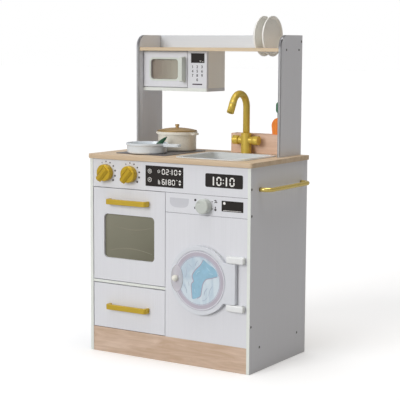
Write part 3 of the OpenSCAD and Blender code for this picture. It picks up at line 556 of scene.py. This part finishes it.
def numeral(name, text, face, u, v, height, material):
    """Plain bold numerals, centred at (u, v)."""
    half_thick, thickening = 0.06, 0.25
    size_for_height = 1.5
    font = bpy.data.curves.new(name, "FONT")
    font.body = text
    font.size = height * size_for_height
    font.align_x = "CENTER"
    font.align_y = "CENTER"
    font.extrude = half_thick
    font.offset = thickening
    font.resolution_u = 4
    return laid(name, font, face, material, u, v, half_thick)


# The bars of a seven-bar digit: top, upper right, lower right, bottom, lower left, upper left,
# middle
BARS = {"0": "abcdef", "2": "abged", "3": "abgcd", "4": "fgbc", "5": "afgcd",
        "6": "afgedc", "7": "abc", "8": "abcdefg", "9": "abcdfg"}


def digit(sign, u, v, width, height, line):
    """The loops of one seven-bar digit whose lower left corner is at (u, v). A one is a plain
    narrow bar."""
    if sign == "1":
        return [box_shape(u, v, u + line * 1.1, v + height, line * 0.4)]
    half = line / 2
    gap = line * 0.14
    low, mid, top = half, height / 2, height - half
    left, right = half, width - half

    def across(level):
        a, b = left + gap, right - gap
        return [(a, level), (a + half, level + half), (b - half, level + half), (b, level),
                (b - half, level - half), (a + half, level - half)]

    def upright(side, a, b):
        a, b = a + gap, b - gap
        return [(side, a), (side + half, a + half), (side + half, b - half), (side, b),
                (side - half, b - half), (side - half, a + half)]

    bars = {"a": across(top), "d": across(low), "g": across(mid), "b": upright(right, mid, top),
            "c": upright(right, low, mid), "e": upright(left, low, mid),
            "f": upright(left, mid, top)}
    return [[(u + a, v + b) for a, b in bars[key]] for key in BARS[sign]]


def digits(text, u, v, width, height, line, pitch):
    """Loops of a row of digits, a pitch apart. A colon is two dots; it and a one take less than
    a digit's place."""
    colon_place, one_place = 0.5, 0.6
    loops = []
    for sign in text:
        if sign == ":":
            for level in (0.32, 0.68):
                loops.append(circle(u + pitch * 0.1, v + height * level, line * 0.42, 16))
            u += pitch * colon_place
        else:
            loops += digit(sign, u, v, width, height, line)
            u += pitch * (one_place if sign == "1" else 1)
    return loops


# ---- displays and prints ----


def arrows(u, v, size):
    """An arrow up over an arrow down."""
    gap = size * 0.24
    half = size * 0.55
    return [[(u - half, v + gap), (u + half, v + gap), (u, v + size)],
            [(u - half, v - gap), (u + half, v - gap), (u, v - size)]]


def oven_display(inks_and_painted_light):
    """The oven's black display: two round signs, a clock, two rows of digits and arrows."""
    film = 0.4
    face = Face("control_panel", "cabinet")
    slab("oven_display", [box_shape(185, 13, 312.3, 71.3, 0.6)], face, film, inks_and_painted_light["screen"])
    front = Face("control_panel", "cabinet", lift=film)
    sign_u, upper_v, lower_v = 199.4, 55.4, 31.4
    marks = []
    for v in (upper_v, lower_v):
        marks += ring(sign_u, v, 5.4, 6.5, 48)
    marks += ring(sign_u, upper_v, 2.2, 3.2, 32)
    marks += [circle(sign_u, upper_v, 0.8, 12)]
    marks += [circle(sign_u, lower_v, 1.2, 16)]
    blade_reach = 2.6
    for blade in range(3):
        angle = math.radians(90 + 120 * blade)
        marks.append(circle(sign_u + blade_reach * math.cos(angle),
                            lower_v + blade_reach * math.sin(angle), 0.95, 16))
    clock_u, clock_v = 230.1, 56.6
    marks += ring(clock_u, clock_v, 3.4, 4.4, 36)
    marks += [stroke([(clock_u, 59), (clock_u, 56.4), (232, 55.4)], 0.8, 1.0)]
    marks += digits("02:10", 240.6, 48, width=10.6, height=15.6, line=2.3, pitch=13.3)
    marks += [box_shape(228.2, 20, 229.7, 33), box_shape(231, 20, 232.5, 31),
              box_shape(233.6, 20, 234.8, 27)]
    marks += digits("6180", 240.7, 19.4, width=10.4, height=15.8, line=2.3, pitch=13)
    marks += ring(291.5, 34.2, 0.8, 1.6, 20)
    arrow_u, arrow_size = 301, 8.2
    for v in (56.2, 27.7):
        marks += arrows(arrow_u, v, arrow_size)
    slab("oven_display_marks", marks, front, 0.12, inks_and_painted_light["lit"])


def clock_display(inks_and_painted_light):
    """The clock over the washing machine."""
    film = 0.5
    face = Face("control_panel", "cabinet")
    slab("clock_display", [box_shape(384.6, 22.9, 504.2, 60.6, 4.5)], face, film,
         inks_and_painted_light["screen"])
    front = Face("control_panel", "cabinet", lift=film)
    marks = digits("10:10", 408.8, 28, width=15.8, height=24.4, line=3.8, pitch=19.8)
    slab("clock_display_marks", marks, front, 0.12, inks_and_painted_light["lit"])


def knob_middle(node):
    """The middle of a knob's shaft, which reaches farther back than the rest of the knob."""
    corners = NODES[node].data.vertices
    back = max(v.co.y for v in corners)
    shaft = [v.co for v in corners if v.co.y > back - 0.5 * MM]
    low = Vector([min(p[axis] for p in shaft) for axis in range(3)])
    high = Vector([max(p[axis] for p in shaft) for axis in range(3)])
    return (low + high) / 2


def knob_dots(inks_and_painted_light):
    """Seven dots round each oven knob, larger and darker clockwise from the upper left."""
    face = Face("control_panel", "cabinet")
    orbit, first, turn = 31.7, -29, 26.6
    smallest, growth = 1.9, 0.22
    for side in ("left", "right"):
        shaft = (knob_middle("oven_knob_" + side) - face.corner) / MM
        for count in range(7):
            angle = math.radians(90 - (first + turn * count))
            dot = circle(shaft.x + orbit * math.cos(angle), shaft.z + orbit * math.sin(angle),
                         smallest + growth * count, 20)
            slab(f"{side}_knob_dot_{count}", [dot], face, 0.1,
                 inks_and_painted_light["dots"][min((count + 1) // 2, 2)])


def washer_tray(face, inks_and_painted_light):
    """The printed soap tray: straight on top, with a deep rounded bowl below."""
    left, right = 14.4, 78
    low, high = face.height - 41, face.height - 15
    reach = (right - left) / 2
    steps = 18
    bowl = [(left, high), (left + 1.5, high + 0.6), (right - 1.5, high + 0.6), (right, high)]
    for i in range(steps + 1):
        angle = math.pi * i / steps
        wide = math.copysign(abs(math.cos(angle)) ** 0.55, math.cos(angle))
        deep = abs(math.sin(angle)) ** 0.7
        bowl.append((left + reach + reach * wide, high - 2 - (high - low - 2) * deep))
    slab("tray_print", [bowl], face, 0.12, inks_and_painted_light["pale"])


def washer_prints(inks_and_painted_light):
    """The washing machine's tray, its programme marks round the knob and its display."""
    face = Face("washer_front_panel", "cabinet")
    top = face.height
    washer_tray(face, inks_and_painted_light)
    drop = smooth([(96, top - 14.5), (99, top - 12.6), (102.4, top - 14.5),
                   (102, top - 18.4), (98.4, top - 19.4), (95.6, top - 17.6)])
    moon = stroke([(99.4, top - 35.4), (97, top - 36.6), (97, top - 39.4),
                   (99.4, top - 40.6)], 2.2, 0.8)
    dashes = [box_shape(152.3, top - 18, 156.4, top - 16.2),
              box_shape(152.5, top - 37.9, 156.6, top - 36.1)]
    spiral = [stroke([(160.8, top - 13.4), (166.2, top - 13), (165.8, top - 16.6),
                      (161.4, top - 19.8)], 2.4, 0.8),
              stroke([(166.5, top - 20), (168.8, top - 17), (171, top - 19.8)], 2, 0.8)]
    gauge = [box_shape(162.9, top - 36.6, 166.1, top - 29.9, 1.3),
             circle(164.5, top - 38.8, 3.4, 20)]
    slab("programme_marks", [drop, moon, *dashes, *spiral, *gauge], face, 0.1,
         inks_and_painted_light["dots"][2])
    film = 0.4
    slab("washer_display", [box_shape(184.6, top - 41, 253.2, top - 12, 0.8)], face, film,
         inks_and_painted_light["screen"])
    front = Face("washer_front_panel", "cabinet", lift=film)
    lamp = circle(193.3, top - 18.8, 3.9, 28)
    line = box_shape(189.3, top - 38.9, 247.3, top - 37.9)
    slab("washer_display_marks", [lamp, line], front, 0.12, inks_and_painted_light["lit"])


def microwave_prints(inks_and_painted_light):
    """The microwave oven's display, its ten keys and the bar below them."""
    film = 0.3
    face = Face("microwave_fascia", "cabinet")
    slab("microwave_display", [box_shape(12.1, 74, 58.5, 102, 0.6)], face, film,
         inks_and_painted_light["screen"])
    front = Face("microwave_fascia", "cabinet", lift=film)
    marks = digits("12", 42.5, 77, width=2.6, height=4.2, line=0.7, pitch=3.7)
    marks += [box_shape(50.4, 77, 55.5, 78)]
    slab("microwave_display_marks", marks, front, 0.1, inks_and_painted_light["lit"])
    columns = (17.5, 33.5, 50)
    first_row, last_row, pitch, key_height = 62, 24, 12.6, 7.4
    for count in range(9):
        numeral(f"key_{count + 1}", str(count + 1), face, columns[count % 3],
                first_row - pitch * (count // 3), key_height, inks_and_painted_light["dots"][2])
    numeral("key_0", "0", face, columns[1], last_row, key_height, inks_and_painted_light["dots"][2])
    slab("start_bar", [box_shape(17, 9.5, 51, 13.2, 1.2)], face, 0.1, inks_and_painted_light["dots"][1])


def seam_shades(inks_and_painted_light):
    """Painted shade: a dark strip at the bottom of the groove across the washer's front, and dark
    strips at the joints above that front and under the oven's shelf, where shade falls."""
    face = Face("washer_front_panel", "cabinet")
    groove_depth, groove_drop = 2, 57
    groove = face.height - groove_drop
    slab("washer_groove_shade", [box_shape(0.2, groove - 0.1, face.width - 0.2, groove + 0.7)],
         face, 0.1, inks_and_painted_light["painted_shade"], out=-groove_depth + 0.05)
    inset, film = 0.4, 0.08
    joint = box_shape(inset, face.height - 1.1, face.width - inset, face.height - 0.2)
    slab("washer_joint_shade", [joint], face, film, inks_and_painted_light["painted_shade"])
    shelf = Face("oven_shelf", "cabinet")
    slab("oven_shelf_shade", [box_shape(inset, 0.2, shelf.width - inset, 0.9)], shelf, film,
         inks_and_painted_light["painted_shade"])


def microwave_frame(inks_and_painted_light):
    """The pale frame moulded round the microwave's window."""
    face = Face("microwave_door_panel", "microwave_door")
    low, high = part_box("microwave_window")
    lap, wide, corner, thick = 4, 5, 10, 0.6
    u0, u1 = (low.x - face.corner.x) / MM + lap, (high.x - face.corner.x) / MM - lap
    v0, v1 = (low.z - face.corner.z) / MM + lap, (high.z - face.corner.z) / MM - lap
    outline = box_shape(u0 - wide, v0 - wide, u1 + wide, v1 + wide, corner + wide)
    opening = box_shape(u0, v0, u1, v1, corner)
    moulding = slab("microwave_window_frame", [outline, opening], face, thick, inks_and_painted_light["frame"])


def window_reflections(inks_and_painted_light):
    """Two soft curved painted reflections on the oven's window, placed by shares of its size."""
    face = Face("oven_window", "oven_door")
    upper = ((0.1, 0.74), (0.3, 0.685), (0.52, 0.655), (0.72, 0.675), (0.9, 0.73))
    lower = ((0.1, 0.19), (0.3, 0.25), (0.5, 0.27), (0.7, 0.25), (0.9, 0.2))
    lines = [[(face.width * u, face.height * v) for u, v in line] for line in (upper, lower)]
    slab("oven_window_painted_reflections", [stroke(line, 2.6, taper=0.3, steps=10) for line in lines], face,
         0.06, inks_and_painted_light["painted_reflection"])


def hob_rings(inks_and_painted_light):
    """Two printed burner rings under the pan and the pot."""
    face = Top("hob_plate", "cabinet")
    inner, outer = 43, 44.6
    pan_low, pan_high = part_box("frying_pan")
    pot_low, pot_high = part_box("pot")
    pan_middle = (pan_low + pan_high) / 2
    # The pan's handle points to the right, so its bowl is as wide from the left as it is deep
    pan_middle.x = pan_low.x + (pan_high.y - pan_low.y) / 2
    for name, middle in (("front", pan_middle), ("rear", (pot_low + pot_high) / 2)):
        at = (middle - face.corner) / MM
        slab(f"hob_ring_{name}", ring(at.x, at.y, inner, outer), face, 0.08,
             inks_and_painted_light["ring_print"])


def nozzle_ring(material):
    """A raised ring round the start of the spout's nozzle, which leans where the bend ends."""
    # The spout's sizes in mm, as it was built
    pipe_r, bend_r, nozzle_r = 10, 40, 10.5
    lean = math.radians(28)
    # The ring's own place and section in mm
    along, half, chamfer_r, chamfer_z = 8, 0.8, 0.3, 0.4
    low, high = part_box("tap_spout")
    bend = Vector(((low.x + high.x) / 2, high.y - (pipe_r + bend_r) * MM,
                   high.z - (pipe_r + bend_r) * MM))
    down = Vector((0, -math.sin(lean), -math.cos(lean)))
    start = bend + Vector((0, -math.cos(lean), math.sin(lean))) * bend_r * MM
    inner, outer = nozzle_r - 0.8, nozzle_r + 0.5
    profile = [(inner, -half), (outer - chamfer_r, -half), (outer, chamfer_z - half),
               (outer, half - chamfer_z), (outer - chamfer_r, half), (inner, half),
               (inner, -half)]
    made = turned([(r * MM, z * MM) for r, z in profile], 48)
    leaning = down.to_track_quat("Z", "X").to_matrix().to_4x4()
    made.transform(Matrix.Translation(start + down * along * MM) @ leaning)
    solid("nozzle_ring", made, material, "spout")


# ---- the picture in the round door ----


def washing_picture(inks_and_painted_light):
    """The washing in the round window: rings at the rim, water, folds, creases and glints, in mm
    from the window's middle."""
    face = Face("washer_window", "washer_door")
    cu, cv = face.width / 2, face.height / 2

    def around(points):
        return [(cu + u, cv + v) for u, v in points]

    rings = (("border", 79.5, 84, 0.1, "border"), ("ring", 69, 79.5, 0.25, "ring"),
             ("ring_line", 66.6, 67.7, 0.15, "outline"),
             ("rim_line", 82.3, 83.2, 0.15, "outline"))
    for name, inner, outer, thick, ink in rings:
        slab("picture_" + name, ring(cu, cv, inner, outer, 120), face, thick, inks_and_painted_light[ink])
    water = [(14, 60), (30, 50), (52, 37), (60, 17), (42, 11), (24, 6), (14, -6), (10, -22),
             (6, -42), (-8, -50), (-22, -52), (-24, -30), (-25, -12), (-18, -3), (-22, 8),
             (-20, 18), (-9, 32), (2, 42), (8, 50)]
    slab("picture_water", [smooth(around(water))], face, 0.15, inks_and_painted_light["water"])
    folds = [
        ([(14, 60), (8, 50), (2, 42), (-9, 32), (-20, 18), (-22, 8), (-18, -3), (-25, -12),
          (-24, -30), (-22, -52)], 2.4),
        ([(60, 17), (42, 11), (24, 6), (14, -6), (10, -22), (6, -42), (-6, -50)], 2.2),
    ]
    slab("picture_outline", [stroke(around(p), w, 0.7) for p, w in folds], face, 0.22,
         inks_and_painted_light["outline"])
    creases = [([(-4, 56), (-10, 48), (-12, 40)], 2.2), ([(-44, 34), (-40, 18), (-46, 4)], 1.8),
               ([(28, -18), (20, -28), (17, -40)], 2.6), ([(44, -10), (36, -24), (32, -40)], 1.8),
               ([(-50, -14), (-42, -28), (-40, -40)], 1.9), ([(-34, 44), (-24, 36)], 1.6),
               ([(10, -56), (20, -52), (28, -44)], 1.6), ([(-34, -6), (-32, -18)], 1.8)]
    slab("picture_creases", [stroke(around(p), w, 0.2) for p, w in creases], face, 0.1,
         inks_and_painted_light["crease"])
    glints = [([(24, 40), (36, 30)], 1.6), ([(-10, 16), (-4, 24), (4, 28)], 1.5),
              ([(-14, -24), (-12, -36)], 1.5), ([(34, 24), (46, 22)], 1.3)]
    slab("picture_glints", [stroke(around(p), w, 0.2) for p, w in glints], face, 0.25,
         inks_and_painted_light["glint"])


# ---- small solid pieces ----


def solid(name, made, material, body):
    """A smooth piece in the row frame, from a bmesh in metres."""
    mesh = bpy.data.meshes.new(name)
    bmesh.ops.recalc_face_normals(made, faces=made.faces)
    for each in made.faces:
        each.smooth = True
    made.to_mesh(mesh)
    made.free()
    mesh.materials.append(material)
    piece = bpy.data.objects.new(name, mesh)
    bpy.context.scene.collection.objects.link(piece)
    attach(piece, body)
    return piece


def turned(profile, segments):
    """A bmesh turned about +Z from (radius, height) points in metres that don't touch the axis.
    Where the last point is the first again, the two are joined."""
    made = bmesh.new()
    step = 2 * math.pi / segments
    rings = [[made.verts.new((r * math.cos(i * step), r * math.sin(i * step), z))
              for i in range(segments)] for r, z in profile]
    for lower, upper in zip(rings, rings[1:]):
        for i in range(segments):
            j = (i + 1) % segments
            made.faces.new((lower[i], lower[j], upper[j], upper[i]))
    bmesh.ops.remove_doubles(made, verts=made.verts, dist=1e-7)
    return made


# ---- the model ----


def make_inks_and_painted_light():
    """The materials of the prints and displays, of the painted shade in the groove and joints and
    of the painted reflection lines on the oven's window, by name.
    """
    return {
        "screen": screen("screen_black", linear(36, 31, 29)),
        "lit": finish("lit_segments", linear(246, 244, 240), 0.5, mottle=0.02),
        "dots": [finish("ink_grey", linear(110, 98, 110), 0.5),
                 finish("ink_mid", linear(70, 58, 68), 0.5),
                 finish("ink_dark", linear(38, 30, 36), 0.5)],
        "pale": finish("ink_pale", linear(204, 205, 211), 0.5, mottle=0.02),
        "ring": finish("ink_ring", linear(188, 182, 194), 0.36, coat=0.2, mottle=0.05),
        "outline": finish("ink_outline", linear(172, 160, 180), 0.4, mottle=0.05),
        "water": finish("ink_water", linear(150, 192, 214), 0.34, coat=0.3, mottle=0.08,
                        mottle_scale=60),
        "crease": finish("ink_crease", linear(172, 186, 204), 0.4, mottle=0.05),
        "frame": finish("window_frame_plastic", linear(216, 223, 214), 0.3, mottle=0.01),
        "border": finish("ink_border", linear(219, 221, 227), 0.3, mottle=0.01),
        "glint": finish("ink_glint", linear(182, 214, 230), 0.3, mottle=0.03),
        # Painted shade for the groove and the joints
        "painted_shade": finish("painted_seam_shade", linear(112, 110, 116), 0.6),
        # Painted reflection for the oven's window
        "painted_reflection": finish("painted_reflection_line", linear(136, 132, 115), 0.2),
        "ring_print": finish("ink_ring_print", linear(150, 144, 140), 0.4),
    }


def dress_boards():
    """The white faced boards of the cabinet, its fronts and the hutch."""
    board_up = white_board("white_board_upright", grain=2)
    board_edged = white_board("white_board_edged", grain=2, edge_axis=1)
    board_flat = white_board("white_board_level", grain=0, edge_axis=1)
    board_back = white_board("white_board_back", grain=0, colour=(216, 222, 230))
    dress(["left_side_panel", "right_side_panel"], board_edged, 0.7)
    dress(["hutch_left_panel", "hutch_right_panel"], board_edged, 0)
    dress(["control_panel", "washer_front_panel", "oven_door_panel", "drawer_front",
           "microwave_door_panel", "microwave_fascia", "centre_divider"], board_up, 0.6)
    # The microwave's side is the white board painted much lighter: painted light that lifts the
    # shade on that side
    board_side_painted_light = white_board("white_board_side_painted_light", grain=2, colour=(254, 251, 244))
    dress(["microwave_side"], board_side_painted_light, 0.6)
    dress(["microwave_floor"], board_flat, 0.5)
    dress(["oven_shelf"], board_flat, 0.4)
    dress(["hutch_back_rail", "microwave_back"], board_back, 0.5)


def dress_wood():
    """The varnished boards, the worktop, the utensil box and the drawer's inside."""
    dress(["plinth_board"], wood("plinth_wood", linear(216, 192, 173), 0, 1.1, wave=2.2), 0.6)
    dress(["base_board"], wood("base_wood", linear(216, 196, 168), 0), 0.5)
    dress(["top_shelf"], wood("shelf_wood", linear(222, 203, 174), 0, 0.9), 0.7)
    dress(["worktop"], wood("worktop_wood", linear(218, 196, 168), 0, 0.9), 1.2, segments=3)
    box_wood = linear(230, 199, 178)
    dress(["utensil_box_front", "utensil_box_back"], wood("box_wood", box_wood, 0), 0.6)
    dress(["utensil_box_end"], wood("box_end_wood", box_wood, 1), 0.6)
    dress(["cabinet_back_panel"],
          wood("back_wood", linear(196, 176, 148), 2, 0.7, gloss=0.7), 0.3)
    dress(["drawer_sides", "drawer_back"],
          wood("drawer_wood", linear(214, 196, 168), 1, 0.8), 0.5)
    dress(["drawer_bottom"], wood("drawer_floor_wood", linear(206, 186, 156), 0, 0.8), 0.3)


def dress_gold():
    """The handles, the oven's knobs, the towel rail and the tap."""
    handle_gold = finish("gold_paint", linear(206, 174, 58), 0.36, metallic=0.45, mottle=0.04,
                         relief=0.00004, relief_scale=1400)
    dress(["oven_handle", "drawer_handle"], handle_gold, 1.2, segments=3)
    # The knobs have the handles' gold painted a little darker and more saturated: painted shade
    knob_gold_painted_shade = finish("knob_gold_painted_shade", linear(202, 168, 40), 0.34, metallic=0.4, mottle=0.04,
                       relief=0.00004, relief_scale=1400)
    dress(["oven_knob_left", "oven_knob_right"], knob_gold_painted_shade, 0.8, segments=3)
    rail_gold = finish("rail_gold", linear(238, 212, 122), 0.2, metallic=0.7, mottle=0.03)
    dress(["towel_rail"], rail_gold, 0)
    tap_gold = finish("tap_gold", linear(222, 192, 84), 0.3, metallic=0.35, mottle=0.05,
                      relief=0.00003, relief_scale=1200)
    dress(["tap_body", "tap_handle_left", "tap_handle_right"], tap_gold, 0.8, segments=3)
    dress(["tap_spout"], tap_gold, 0)


def dress_plastic():
    """The washing machine's door, hinge, knob and latch, and the microwave oven's handle."""
    plastic = finish("white_plastic", linear(234, 236, 236), 0.3, coat=0.15, mottle=0.012,
                     relief=0.00003)
    door = finish("door_plastic", linear(219, 222, 228), 0.3, coat=0.15, mottle=0.012,
                  relief=0.00003)
    dress(["washer_door_panel"], door, 1.2, segments=3)
    dress(["washer_hinge_blocks"], plastic, 4.2, segments=6)
    handle = finish("pale_green_plastic", linear(214, 220, 212), 0.3, mottle=0.015)
    dress(["microwave_handle"], handle, 0.9, segments=3)
    dress(["door_catches"], plastic, 0.4)
    knob = finish("knob_plastic", linear(198, 203, 197), 0.34, coat=0.1, mottle=0.02,
                  relief=0.00003)
    dress(["washer_knob"], knob, 0.5, segments=3)
    ball = finish("ball_plastic", linear(236, 234, 224), 0.22, coat=0.3, mottle=0.01)
    dress(["washer_latch_knob"], ball, 0)
    clear = finish("latch_plate_clear", linear(246, 243, 248), 0.2, alpha=0.42, coat=0.3,
                   mottle=0.02)
    dress(["washer_latch_plate"], clear, 0.3)


def dress_windows():
    """The round window's print and the two tinted panes, the oven's with a painted sheen and the
    microwave's with painted shade.
    """
    dress(["washer_window"], cloth_print("washing_print", linear(188, 206, 220),
                                         linear(216, 228, 236)), 0)
    # The oven's window carries a painted sheen, lighter at the upper left
    dress(["oven_window"], window_tint_and_painted_sheen("oven_window_tint_and_painted_sheen", linear(140, 138, 120),
                                       linear(108, 106, 88)), 0)
    # The microwave's pane carries painted shade, darker at the left
    dress(["microwave_window"], pane_with_painted_shade("microwave_pane"), 0)


def dress_fittings():
    """The hob, the sink, the screws and the hinge pins."""
    hob = finish("hob_dark", linear(104, 100, 102), 0.35, mottle=0.05, relief=0.00003)
    dress(["hob_plate"], hob, 0.5)
    sink = finish("sink_plastic", linear(216, 219, 219), 0.22, coat=0.3, mottle=0.01)
    dress(["sink_basin"], sink, 0.9, segments=3)
    dress(["sink_drain"], brushed("drain_steel", linear(176, 178, 180), 0.28, 0), 0.2)
    screw = finish("screw_finish", linear(96, 94, 96), 0.35, metallic=0.8)
    dress(["panel_screws"], screw, 0.3)
    steel = brushed("pin_steel", linear(190, 190, 188), 0.25, 2)
    dress(["oven_hinge_pins", "microwave_hinge_pins", "washer_hinge_pin"], steel, 0.15)


def dress_toys():
    """The pot, the frying pan, the plates and the toy vegetables."""
    pot = finish("pot_enamel", linear(238, 233, 220), 0.28, coat=0.2, mottle=0.02,
                 relief=0.00004, relief_scale=300)
    dress(["pot"], pot, 0.9, segments=3)
    lid = brushed("lid_gold", linear(192, 160, 108), 0.4, 0, metallic=0.35)
    dress(["pot_lid"], lid, 0.6, segments=3)
    pan = finish("pan_enamel", linear(219, 226, 232), 0.26, coat=0.2, mottle=0.015,
                 relief=0.00004, relief_scale=300)
    dress(["frying_pan"], pan, 0.45, segments=3)
    plate = finish("plate_cream", linear(253, 252, 247), 0.3, coat=0.15, mottle=0.02)
    dress(["plate_left", "plate_right"], plate, 0.5, segments=3)
    dress(["toy_leaf"], finish("leaf_green", linear(6, 72, 42), 0.5, mottle=0.12), 0)
    leaves_height = 46 * MM
    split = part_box("toy_carrot")[1].z - leaves_height
    carrot = painted_carrot("carrot_paint", linear(250, 140, 34), linear(16, 112, 72), split)
    dress(["toy_carrot"], carrot, 1.5, segments=3)


make_camera()
make_light()
make_floor()
dress_boards()
dress_wood()
dress_gold()
dress_plastic()
dress_windows()
dress_fittings()
dress_toys()
inks_and_painted_light = make_inks_and_painted_light()
oven_display(inks_and_painted_light)
clock_display(inks_and_painted_light)
knob_dots(inks_and_painted_light)
washer_prints(inks_and_painted_light)
microwave_prints(inks_and_painted_light)
washing_picture(inks_and_painted_light)
# Painted shade in the groove and the joints
seam_shades(inks_and_painted_light)
microwave_frame(inks_and_painted_light)
window_reflections(inks_and_painted_light)
hob_rings(inks_and_painted_light)
nozzle_ring(bpy.data.materials["tap_gold"])

bpy.context.view_layer.update()
